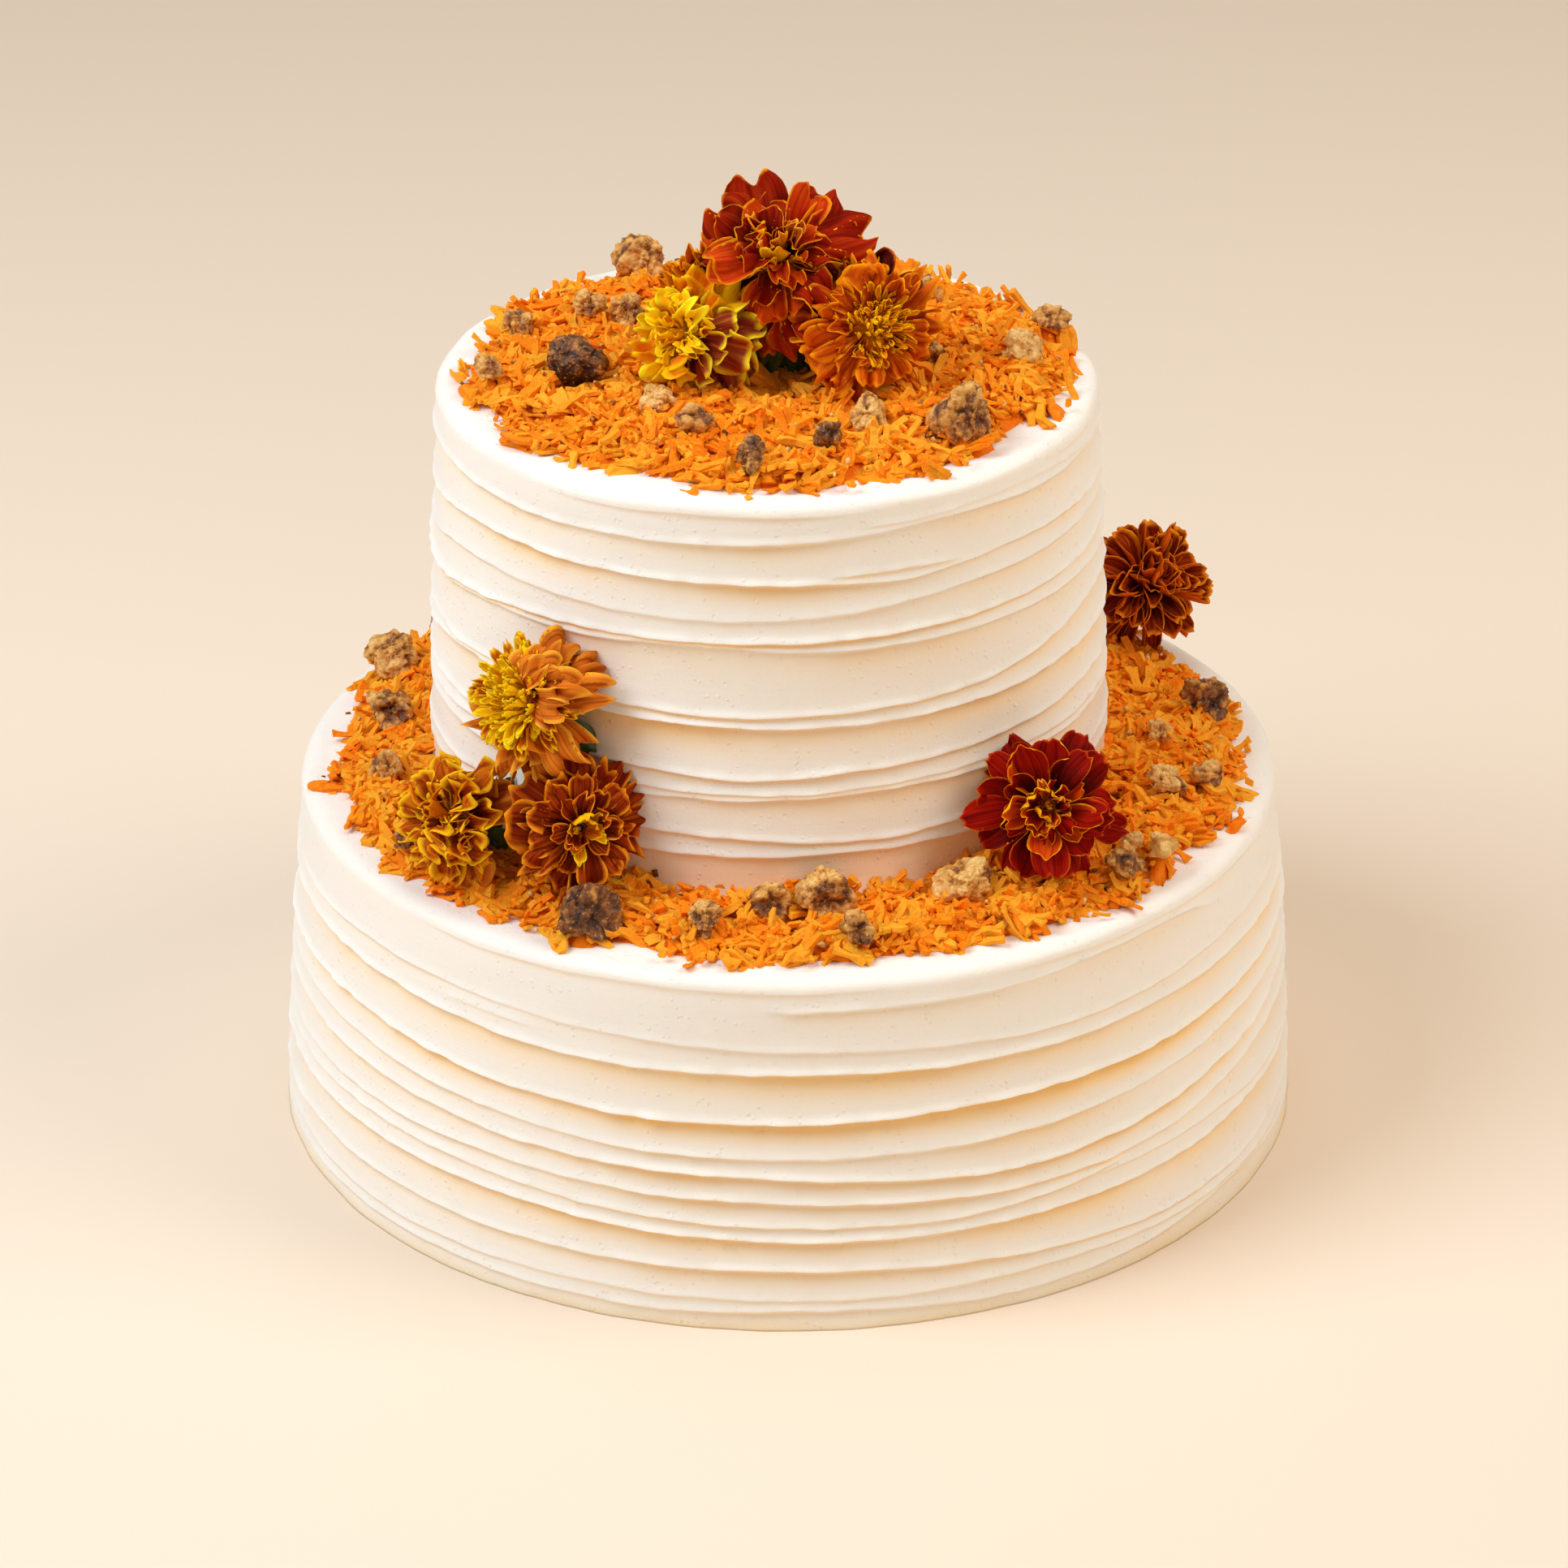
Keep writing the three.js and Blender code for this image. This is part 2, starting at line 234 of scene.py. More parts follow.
class Graph:
    """A shader or geometry tree under construction. Its methods add nodes and give sockets as Numbers."""

    def __init__(self, tree):
        self.tree = tree

    def node(self, kind, settings=None, sockets=None, output=0):
        """Adds a node of that kind: its settings first, then the values or links of its sockets."""
        made = self.tree.nodes.new(kind)
        settings = dict(settings or {})
        stops = settings.pop("stops", None)
        for name, value in settings.items():
            setattr(made, name, value)
        if stops:
            self.set_stops(made.color_ramp, stops)
        for name, value in (sockets or {}).items():
            self.feed(made.inputs[name], value)
        return Number(self, made.outputs[output])

    def set_stops(self, ramp, stops):
        while len(ramp.elements) < len(stops):
            ramp.elements.new(1.0)
        for element, (place, colour) in zip(ramp.elements, stops):
            element.position = place
            element.color = (*colour, 1.0)

    def feed(self, socket, value):
        if isinstance(value, Number):
            self.tree.links.new(value.socket, socket)
        elif socket.type == "RGBA":
            socket.default_value = (*value, 1.0)
        else:
            socket.default_value = value

    def maths(self, operation, *values):
        return self.node("ShaderNodeMath", {"operation": operation}, dict(enumerate(values)))

    def vector(self, operation, *values):
        return self.node("ShaderNodeVectorMath", {"operation": operation}, dict(enumerate(values)))

    def combined(self, x, y, z=0.0):
        """A vector of three numbers."""
        return self.node("ShaderNodeCombineXYZ", None, {0: x, 1: y, 2: z})

    def split(self, value):
        """The X, Y and Z of a vector socket."""
        made = self.tree.nodes.new("ShaderNodeSeparateXYZ")
        self.feed(made.inputs[0], value)
        return [Number(self, out) for out in made.outputs]

    def mixed(self, factor, first, second, blend="MIX"):
        """A colour between two, through a Mix node."""
        settings = {"data_type": "RGBA", "blend_type": blend}
        return self.node("ShaderNodeMix", settings, {0: factor, 6: first, 7: second}, output=2)


class Finish(Graph):
    """A material under construction, with the patterns that several finishes use."""

    def __init__(self, name):
        self.material = bpy.data.materials.new(name)
        self.material.use_nodes = True
        super().__init__(self.material.node_tree)
        self.shader = self.tree.nodes["Principled BSDF"]

    def attribute(self, name, vector=False):
        output = "Vector" if vector else "Fac"
        return self.node("ShaderNodeAttribute", {"attribute_name": name}, output=output)

    def place(self, stretch=(1, 1, 1)):
        """Object coordinates in millimetres, squeezed or stretched along each axis."""
        at = self.node("ShaderNodeTexCoord", output="Object")
        return self.vector("MULTIPLY", at, tuple(s / MM for s in stretch))

    def noise(self, at, size, detail=2.0, rough=0.5):
        """Soft noise from 0 to 1 with bumps about that size."""
        sockets = {"Vector": at, "Scale": 1.0 / size, "Detail": detail, "Roughness": rough}
        return self.node("ShaderNodeTexNoise", None, sockets)

    def cells(self, at, size):
        """Distance to the nearest of many scattered points, as a share of their spacing."""
        return self.node("ShaderNodeTexVoronoi", None, {"Vector": at, "Scale": 1.0 / size})

    def bump(self, height, strength, depth):
        sockets = {"Height": height, "Strength": strength, "Distance": depth * MM}
        return self.node("ShaderNodeBump", None, sockets)

    def finish(self, **sockets):
        """Feeds the shader: names have _ for a space."""
        for name, value in sockets.items():
            self.feed(self.shader.inputs[name.replace("_", " ")], value)
        return self.material


class Growth(Graph):
    """A geometry tree under construction: geometry in, named inputs, geometry out."""

    KINDS = {
        float: "NodeSocketFloat",
        int: "NodeSocketInt",
        bpy.types.Collection: "NodeSocketCollection",
        bpy.types.Material: "NodeSocketMaterial",
    }

    def __init__(self, name, inputs):
        super().__init__(bpy.data.node_groups.new(name, "GeometryNodeTree"))
        self.tree.interface.new_socket("Geometry", in_out="INPUT", socket_type="NodeSocketGeometry")
        self.tree.interface.new_socket("Geometry", in_out="OUTPUT", socket_type="NodeSocketGeometry")
        self.identifiers = {}
        for label, kind in inputs.items():
            made = self.tree.interface.new_socket(label, in_out="INPUT", socket_type=self.KINDS[kind])
            self.identifiers[label] = made.identifier
        entry = self.tree.nodes.new("NodeGroupInput")
        self.given = {socket.name: Number(self, socket) for socket in entry.outputs if socket.name}

    def random(self, low, high, seed):
        """A random number for each element."""
        sockets = {2: low, 3: high, 8: seed}
        return self.node("FunctionNodeRandomValue", {"data_type": "FLOAT"}, sockets, output=1)

    def field(self, name, kind):
        """An attribute of the geometry."""
        return self.node("GeometryNodeInputNamedAttribute", {"data_type": kind}, {"Name": name})

    def picked(self, collection):
        """The things of a collection, for each instance to pick one from."""
        sockets = {"Collection": collection, "Separate Children": True, "Reset Children": True}
        return self.node("GeometryNodeCollectionInfo", None, sockets)

    def placed(self, points, things, rotation, scale):
        """One of the things on each point."""
        sockets = {"Points": points, "Instance": things, "Pick Instance": True}
        sockets |= {"Rotation": rotation, "Scale": scale}
        return self.node("GeometryNodeInstanceOnPoints", None, sockets)

    def ended(self, instances):
        """Realizes the instances, gives them their material and leads them out."""
        real = self.node("GeometryNodeRealizeInstances", None, {0: instances})
        sockets = {"Geometry": real, "Material": self.given["Material"]}
        worn = self.node("GeometryNodeSetMaterial", None, sockets)
        self.feed(self.tree.nodes.new("NodeGroupOutput").inputs[0], worn)
        return self

    def grown(self, name, base, values):
        """The tree's result on the base mesh, as a new plain object."""
        carrier = linked(bpy.data.objects.new(name + "_carrier", base))
        modifier = carrier.modifiers.new("growth", "NODES")
        modifier.node_group = self.tree
        for label, value in values.items():
            modifier[self.identifiers[label]] = value
        evaluated = carrier.evaluated_get(bpy.context.evaluated_depsgraph_get())
        mesh = bpy.data.meshes.new_from_object(evaluated)
        mesh.name = name
        bpy.data.objects.remove(carrier)
        return linked(bpy.data.objects.new(name, mesh))


# ---- Meshes ----


def linked(piece):
    """Links an object to the scene."""
    bpy.context.scene.collection.objects.link(piece)
    return piece


def object_of(mesh):
    """A new object of the mesh's name in the scene."""
    return linked(bpy.data.objects.new(mesh.name, mesh))


def new_mesh(name, points, faces, material=None, smooth=True, attributes=None):
    """A mesh from points in millimetres, with a number or a vector for each point in each attribute."""
    mesh = bpy.data.meshes.new(name)
    points = np.asarray(points, float) * MM
    mesh.from_pydata(points.tolist(), [], [list(map(int, face)) for face in faces])
    for label, values in (attributes or {}).items():
        values = np.asarray(values, np.float32)
        kind = "FLOAT" if values.ndim == 1 else "FLOAT_VECTOR"
        field = "value" if values.ndim == 1 else "vector"
        mesh.attributes.new(label, kind, "POINT").data.foreach_set(field, values.ravel())
    mesh.polygons.foreach_set("use_smooth", [smooth] * len(mesh.polygons))
    if material:
        mesh.materials.append(material)
    return mesh


def as_piece(item, slot, *nodes):
    """Puts a finished piece on the cake's body, in place of its CAD nodes."""
    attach(item, BODY)
    if nodes:
        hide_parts(*nodes)


def joined(name, items):
    """Several objects made into one."""
    first = items[0]
    with bpy.context.temp_override(
        active_object=first, object=first, selected_objects=items, selected_editable_objects=items
    ):
        bpy.ops.object.join()
    first.name = name
    first.data.name = name
    return first


def ring_faces(rows, across):
    """Quads between rows of points that each go once round, counter-clockwise from above, foot first."""
    faces = []
    for row in range(rows - 1):
        for i in range(across):
            here, after = row * across + i, row * across + (i + 1) % across
            faces.append((here, after, after + across, here + across))
    return faces


def fan(middle, around, up):
    """Triangles from a middle point to a ring of points."""
    pairs = zip(around, [*around[1:], around[0]])
    return [(middle, a, b) if up else (middle, b, a) for a, b in pairs]


def closed_rings(rings, foot, top):
    """Points and faces of rows that each go once round, closed to a point at the foot and at the top."""
    rows, across = rings.shape[:2]
    count = rows * across
    faces = ring_faces(rows, across)
    faces += fan(count, list(range(across)), up=False)
    faces += fan(count + 1, list(range(count - across, count)), up=True)
    return np.concatenate([rings.reshape(-1, 3), [foot, top]]), faces


def round_azimuths(count):
    """That many azimuths evenly round the cake."""
    return np.arange(count) * FULL_CIRCLE / count


def polar(azimuth, radius, centre=(0.0, 0.0)):
    """X and Y of a place at an azimuth in degrees."""
    angle = np.radians(azimuth)
    return centre[0] + radius * np.sin(angle), centre[1] - radius * np.cos(angle)


def direction(azimuth, elevation):
    """The unit vector that points at an azimuth and elevation in degrees."""
    x, y = polar(azimuth, math.cos(math.radians(elevation)))
    return Vector((x, y, math.sin(math.radians(elevation))))


# ---- Repeatable noise ----

# A field of noise: how far it swings either way, the size of its bumps, and its seed.
Swell = namedtuple("Swell", "swing size seed")

# Large primes that scramble a point's three numbers and its seed, and the bits that are kept of the result.
PRIMES = (374761393, 668265263, 2147483629)
SEED_PRIME = 974634777
MIXING_PRIME = 1274126177
MIXED_BITS = 0x7FFFFFFFFFFF
KEPT_BITS = 0xFFFFF


def lattice(cells, seed):
    """A number from 0 to 1 for each whole-number point, always the same for the same point and seed."""
    mixed = sum(cells[..., k] * prime for k, prime in enumerate(PRIMES)) + seed * SEED_PRIME
    mixed = (mixed ^ (mixed >> 13)) * MIXING_PRIME & MIXED_BITS
    mixed = (mixed ^ (mixed >> 16)) & KEPT_BITS
    return mixed / KEPT_BITS


def soft_noise(points, size, seed):
    """Noise from -1 to 1 at each point, with bumps about that size."""
    at = np.asarray(points, float) / size
    cell = np.floor(at).astype(np.int64)
    part = at - cell
    part = part * part * (3 - 2 * part)
    total = np.zeros(at.shape[:-1])
    for corner in itertools.product((0, 1), repeat=3):
        weight = np.prod(np.where(corner, part, 1 - part), axis=-1)
        total += weight * lattice(cell + corner, seed)
    return 2 * total - 1


def swelled(points, *swells):
    """The sum of some swells at each point."""
    return sum(swell.swing * soft_noise(points, swell.size, swell.seed) for swell in swells)


def layered_noise(points, size, seed, layers=3):
    """Noise from -1 to 1 in layers, each with half the size and half the height of the last."""
    total = sum(soft_noise(points, size / 2**k, seed + k) / 2**k for k in range(layers))
    return total / (2 - 0.5 ** (layers - 1))


def scattered_cells(points, size, seed):
    """Distance from each point to the nearest of many scattered middles, as a share of their spacing."""
    at = np.asarray(points, float) / size
    cell = np.floor(at).astype(np.int64)
    nearest = np.full(at.shape[:-1], np.inf)
    for step in itertools.product((-1, 0, 1), repeat=3):
        near = cell + step
        middle = near + np.stack([lattice(near, seed + k) for k in range(3)], axis=-1)
        nearest = np.minimum(nearest, np.linalg.norm(at - middle, axis=-1))
    return nearest


def smoothstep(values, low, high):
    """0 below low, 1 above high, and smooth between them."""
    x = np.clip((values - low) / (high - low), 0, 1)
    return x * x * (3 - 2 * x)


def points_at(x, y, z=0.0):
    """Points from their X, Y and Z, any of which may be one number for all."""
    return np.stack(np.broadcast_arrays(x, y, z), axis=-1)


# ---- Frosted tiers ----

# A lip of frosting, which the palette knife left. It runs round its tier at its height, with its strength,
# and climbs or dips around each bump's azimuth: azimuth, rise and width in degrees. A lip with a span is
# only there between its two azimuths.
Ledge = namedtuple("Ledge", "height strength bumps span", defaults=(None,))

# A tier: how many points go round it, and how far the frosting at its foot is drawn out.
Tier = namedtuple("Tier", "node centre foot top foot_radius top_radius columns flare ledges")

UNDERCUT = 1.3  # height of the step under a lip
FULL_BAND = 6.0  # a band this high or more has the full depth
LEAST_BAND = 1.1  # lips never come closer than this, but for the ends of short ones
RIM_ROUND = 2.6  # how far down a tier's top edge is rounded
RIM_IN = 3.8  # and how far in
RIM_STEPS = 6
RIM_STRENGTH = 0.4  # of the lip that the top edge makes where it is strongest
HIGHEST_LIP = 0.45  # how far the first lip stays under that edge, over the least band
HIGHEST_RIM = 0.3  # how far the edge may rise
SPAN_FADE = 6.0  # degrees over which a short lip fades at its ends
NEAR_LIP = (0.15, 0.35, 0.6, 0.95, 1.5)  # rows of points under a lip
NEAR_BEAD = (2.3, 1.6, 1.05, 0.6, 0.25)  # rows of points over the next lip
ROOM = 5.4  # height that those rows need, under which they are squeezed
MID_ROWS = 3
FOOT_ROW = 0.5  # height of the second row of points over the foot
BEAD_BELOW = 0.4  # how far a bead reaches down from its lip
BEAD_ABOVE = 1.1  # and up
PAINTED_SHADE_LINE = 0.8  # painted shade: warm tint right under a full lip
PAINTED_SHADE_AT = (0.5, 0.9)  # how far under the lip that line of painted shade is, and how wide
SHADIEST_AZIMUTH = 50.0  # azimuth at which the painted shade in the recesses is strongest, on the side turned from the key light
FOOT_PAINTED_BOUNCE = 0.45  # painted bounce light from the carrot: warm tint at a tier's foot, which reaches higher where the foot is drawn out more
DRAWN_AT = (81, -83)  # azimuths at which the feet are drawn out most
DRAWN_WIDTH = 9  # degrees
SIDES = (70, 110)  # degrees from the front over which the lips' own course gives way to slow swells
TOP_STEPS = (0.8, 1.7, 2.6, 3.6, 4.8, 6.2, 8, 11, 15, 20, 28, 40, 55)  # rows of points in from the rim

LIP_WAVE = 0.35  # height of the three waves that each lip makes round its tier
LIP_WOBBLES = (Swell(0.22, 9, 5), Swell(0.16, 4, 6))
LIP_SWELL_BEHIND = Swell(1.5, 45, 9)
LIP_UNEVEN = Swell(0.35, 28, 21)
RIM_UNEVEN = Swell(0.45, 18, 51)
RIM_IN_UNEVEN = Swell(0.35, 15, 53)
RIM_SEEN = Swell(1, 34, 52)
NUBS = Swell(0.6, 3.2, 41)  # small thick places along a bead
WALL_SWELL = Swell(0.45, 42, 2)
WALL_CHATTER = Swell(0.1, 4.5, 3)  # ripples of the knife, drawn out round the tier
CHATTER_STRETCH = (0.4, 0.4, 1)
FOOT_DRAWN = Swell(1, 7, 14)
TOP_SWELLS = (Swell(0.3, 16, 4), Swell(0.1, 5, 6))
TOP_SWIRLS = Swell(0.14, 2.8, 8)  # that follow the turning of the tier

LOWER_LEDGES = (
    Ledge(78.0, 0.4, ((46, 2.4, 16), (59, -2.4, 5)), (-4, 59)),
    Ledge(67.4, 0.5, ((-48, 4.0, 38), (34, -1.4, 16), (74, 2.2, 22))),
    Ledge(66.4, 0.3, ((-36, 1.0, 9),), (-45, -27)),
    Ledge(62.5, 0.95, ((-64, 2.1, 26), (6, 0.7, 18))),
    Ledge(51.2, 1.15, ((-58, 2.2, 20), (24, 1.0, 18), (76, 2.6, 28))),
    Ledge(42.4, 0.7, ((-58, 3.7, 34), (76, 5.2, 30))),
    Ledge(38.2, 1.0, ((-60, 2.3, 32), (27, -3.8, 22), (86, 4.6, 24))),
    Ledge(31.2, 0.8, ((-40, 2.0, 30), (30, -1.7, 18), (80, 4.8, 22))),
    Ledge(25.4, 0.75, ((-48, 3.5, 34), (44, 3.2, 14)), (-200, 42)),
    Ledge(26.4, 0.6, ((70, -0.8, 12),), (33, 150)),
    Ledge(21.6, 0.9, ((-38, 3.2, 34), (80, 1.8, 22))),
    Ledge(15.2, 0.8, ((-84, -2.8, 16), (52, -5.0, 34))),
    Ledge(7.4, 0.5, ((30, 1.2, 14), (-24, 0.6, 5))),
    Ledge(3.8, 0.5, ((4, 1.4, 12), (58, 2.2, 16))),
)
UPPER_LEDGES = (
    Ledge(174.8, 0.35, ((50, 1.6, 20),), (14, 84)),
    Ledge(172.0, 0.6, ((34, 2.4, 20), (84, 3.6, 28))),
    Ledge(164.3, 0.65, ((23, 0.5, 8),), (9, 36)),
    Ledge(163.2, 0.85, ((-84, -3.4, 18), (23, -1.0, 9), (78, 2.8, 24))),
    Ledge(154.4, 0.5, ((-84, -4.2, 16), (38, 3.2, 26), (84, 4.8, 26))),
    Ledge(149.4, 1.0, ((-80, -6.2, 28), (82, 2.8, 20))),
    Ledge(146.4, 0.55, ((-14, 2.0, 14),)),
    Ledge(132.0, 0.8, ((-8, -0.6, 14), (76, 7.2, 30))),
    Ledge(129.2, 1.0, ((-84, -2.6, 14), (-62, 1.6, 20))),
    Ledge(118.0, 0.85, ((-4, -1.2, 10), (74, 1.6, 24))),
    Ledge(113.2, 0.6, ((-50, 2.2, 22),)),
    Ledge(111.4, 0.6, ((20, 0.5, 14),)),
    Ledge(101.6, 0.75, ((-34, 2.2, 20), (18, -1.2, 12))),
    Ledge(97.4, 0.6, ((12, 1.0, 24),)),
)


def tier_of(node, top_radius, columns, flare, ledges):
    """A tier whose place and outer size come from its CAD node."""
    low, high = (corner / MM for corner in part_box(node))
    centre = ((low.x + high.x) / 2, (low.y + high.y) / 2)
    return Tier(node, centre, low.z, high.z, (high.y - low.y) / 2, top_radius, columns, flare, ledges)


LOWER_TIER = tier_of("lower_tier", top_radius=113.4, columns=420, flare=0.7, ledges=LOWER_LEDGES)
UPPER_TIER = tier_of("upper_tier", top_radius=75.2, columns=344, flare=5.4, ledges=UPPER_LEDGES)


def bell(away, width):
    """1 where away is 0, and almost 0 two widths away."""
    return np.exp(-((away / width) ** 2))


def away_from(azimuth, middle):
    """Degrees from the middle azimuth, from -180 to 180."""
    return (azimuth - middle + 1.5 * FULL_CIRCLE) % FULL_CIRCLE - FULL_CIRCLE / 2


def presence(ledge, azimuth):
    """How much of a lip there is at each azimuth, from 0 to 1."""
    if ledge.span is None:
        return np.ones_like(azimuth)
    start, end = ledge.span
    half = (end - start) / 2
    return 1 - smoothstep(np.abs(away_from(azimuth, start + half)), half - SPAN_FADE, half)


def lips(tier, azimuth):
    """Heights, presences and strengths of the tier's lips from the top down, at each azimuth."""
    behind = smoothstep(np.abs(away_from(azimuth, 0)), *SIDES)
    x, y = polar(azimuth, tier.foot_radius)
    heights, there, strengths = [], [], []
    for i, ledge in enumerate(tier.ledges):
        at = points_at(x, y, 31.0 * i)
        drift = LIP_WAVE * np.sin(np.radians(3 * azimuth + 70 * i))
        drift += swelled(at, *LIP_WOBBLES) + behind * swelled(at, LIP_SWELL_BEHIND)
        rise = sum(by * bell(away_from(azimuth, middle), width) for middle, by, width in ledge.bumps)
        seen = presence(ledge, azimuth)
        if heights:
            highest = heights[-1] - LEAST_BAND * (0.35 + 0.65 * np.minimum(seen, there[-1]))
        else:
            highest = tier.top - RIM_ROUND - HIGHEST_LIP - LEAST_BAND
        heights.append(np.minimum(ledge.height + drift + rise, highest))
        there.append(seen)
        uneven = 0.9 + swelled(points_at(x, y, 57.0 * i), LIP_UNEVEN)
        strengths.append(ledge.strength * seen * uneven)
    return np.array(heights), np.array(there), np.array(strengths)


def band_heights(tier, heights, there):
    """How far down each lip's recess reaches: to the next lip that is really there."""
    reach = np.empty_like(heights)
    reach[-1] = heights[-1] - tier.foot + 1
    for i in range(len(heights) - 2, -1, -1):
        reach[i] = heights[i] - heights[i + 1] + (1 - there[i + 1]) * reach[i + 1]
    return reach


def row_heights(tier, heights):
    """Heights of the wall's rows of points from the foot up: close together at each lip and bead."""
    rows = [np.full(tier.columns, tier.foot), np.full(tier.columns, tier.foot + FOOT_ROW)]
    foot_ring = points_at(*polar(round_azimuths(tier.columns), tier.foot_radius))
    rim = tier.top - RIM_ROUND + np.minimum(swelled(foot_ring, RIM_UNEVEN), HIGHEST_RIM)
    ceilings = [rim, *heights]
    floors = [*heights, rows[-1]]
    for ceiling, floor in reversed(list(zip(ceilings, floors))):
        shrink = np.minimum(1, (ceiling - floor) / ROOM)
        low = [floor + shrink * step for step in reversed(NEAR_BEAD)]
        high = [ceiling - shrink * step for step in reversed(NEAR_LIP)]
        middle = [low[-1] + (high[0] - low[-1]) * (k + 1) / (MID_ROWS + 1) for k in range(MID_ROWS)]
        rows += [*low, *middle, *high, ceiling]
    return np.array(rows)


def wall_radius(tier, height):
    """The wall's radius at a height, before the lips."""
    part = np.clip((height - tier.foot) / (tier.top - tier.foot), 0, 1)
    return tier.foot_radius + (tier.top_radius - tier.foot_radius) * part**1.3


def recess_and_bead(tier, settings, rows, heights, there, strengths):
    """How far the wall lies back under the lips at each point, how far a lip stands out, and the warm
    painted shade under the lips, with painted bounce light at the foot.
    """
    reach = band_heights(tier, heights, there)
    recess, bead, warm = np.zeros_like(rows), np.zeros_like(rows), np.zeros_like(rows)
    azimuth = round_azimuths(tier.columns)
    x, y = polar(azimuth, tier.foot_radius)
    nubs = 1 + swelled(points_at(x, y, rows), NUBS)
    rim = rows[-1]
    rim_strength = RIM_STRENGTH * smoothstep(swelled(points_at(x, y), RIM_SEEN), -0.5, 0.6)
    heights, reach = [rim, *heights], [rim - heights[0], *reach]
    for lip, strength, far in zip(heights, [rim_strength, *strengths], reach):
        down = lip - rows
        part = np.clip(down / far, 0, 1)
        full = settings.ledge_depth / MM * strength * np.minimum(1, far / FULL_BAND)
        recess += full * smoothstep(down, 0, UNDERCUT) * (1 - part) ** 1.35
        width = np.where(down > 0, BEAD_BELOW, BEAD_ABOVE)
        bead += settings.bead / MM * strength * nubs * bell(down, width)
        # A line of painted shade right under each lip.
        line = bell(down - PAINTED_SHADE_AT[0], PAINTED_SHADE_AT[1]) * (down > 0.1)
        warm = np.maximum(warm, PAINTED_SHADE_LINE * strength * line)
    # Painted shade fills each recess too, and is stronger on the side turned from the key light.
    warm = np.maximum(warm, recess / (settings.ledge_depth / MM))
    warm *= 0.75 + 0.25 * np.cos(np.radians(azimuth - SHADIEST_AZIMUTH))
    # Painted bounce light from the carrot, warm at the foot.
    warm += FOOT_PAINTED_BOUNCE * bell(rows - tier.foot, 1 + 1.3 * tier.flare)
    return recess, bead, np.clip(warm, 0, 1)


def tier_points(tier, settings):
    """Rows of points from the foot up and in over the top, how much painted shade and bounce light each has,
    and how much it is a lip's, which gets a painted highlight.
    """
    azimuth = round_azimuths(tier.columns)
    heights, there, strengths = lips(tier, azimuth)
    rows = row_heights(tier, heights)
    recess, bead, warm = recess_and_bead(tier, settings, rows, heights, there, strengths)
    x, y = polar(azimuth, tier.foot_radius)
    at = points_at(x, y, rows)
    radius = wall_radius(tier, rows) - recess + bead
    radius += swelled(at, WALL_SWELL) + swelled(at * CHATTER_STRETCH, WALL_CHATTER)
    drawn = swelled(points_at(x, y), FOOT_DRAWN)
    drawn += sum(1.1 * bell(away_from(azimuth, middle), DRAWN_WIDTH) for middle in DRAWN_AT)
    foot = bell(rows - tier.foot, 1.4 + 0.25 * tier.flare)
    radius += tier.flare * foot * np.clip(0.45 + 0.35 * drawn, 0, 1)
    points = [points_at(*polar(azimuth, r, tier.centre), z) for r, z in zip(radius, rows)]
    # The lip share gives a painted highlight on the beads, and a full one on the rim and top.
    painted_shade_and_bounce, lip = list(warm), list(np.clip(1.3 * bead / (settings.bead / MM), 0, 1))
    rim_in = RIM_IN * (1 + swelled(points_at(x, y), RIM_IN_UNEVEN))
    for step in range(1, RIM_STEPS + 1):
        turn = math.radians(90) * step / RIM_STEPS
        round_in = radius[-1] - rim_in * (1 - math.cos(turn))
        height = rows[-1] + (tier.top - rows[-1]) * math.sin(turn)
        points.append(points_at(*polar(azimuth, round_in, tier.centre), height))
        lip.append(np.full_like(azimuth, step / RIM_STEPS))
    for step in TOP_STEPS:
        x, y = polar(azimuth, radius[-1] - rim_in - step, tier.centre)
        points.append(points_at(x, y, top_height(tier, x, y)))
        lip.append(np.ones_like(azimuth))
    painted_shade_and_bounce += [np.zeros_like(azimuth)] * (RIM_STEPS + len(TOP_STEPS))
    return np.array(points), np.array(painted_shade_and_bounce), np.array(lip)


def top_height(tier, x, y):
    """The frosting's height on top of a tier, with the soft swells that the knife left."""
    reach = np.hypot(x - tier.centre[0], y - tier.centre[1])
    inside = smoothstep(tier.top_radius - RIM_IN - reach, -1, 4)
    swirls = swelled(points_at(6 * x / (reach + 1), 6 * y / (reach + 1), reach), TOP_SWIRLS)
    return tier.top + inside * (swelled(points_at(x, y), *TOP_SWELLS) + swirls)


def frosted_tier(tier, settings, material):
    """A tier's frosting: its wall of lips, its rim and its top."""
    rings, painted_shade_and_bounce, lip = tier_points(tier, settings)
    points, faces = closed_rings(rings, (*tier.centre, tier.foot), (*tier.centre, tier.top))
    # The recess attribute carries the painted shade and bounce light; lip carries the painted highlight of
    # lips, rim and top.
    attributes = {"recess": np.append(painted_shade_and_bounce, [0, 0]), "lip": np.append(lip, [0, 1])}
    mesh = new_mesh(tier.node + "_frosting", points, faces, material, attributes=attributes)
    as_piece(object_of(mesh), "frosting", tier.node)


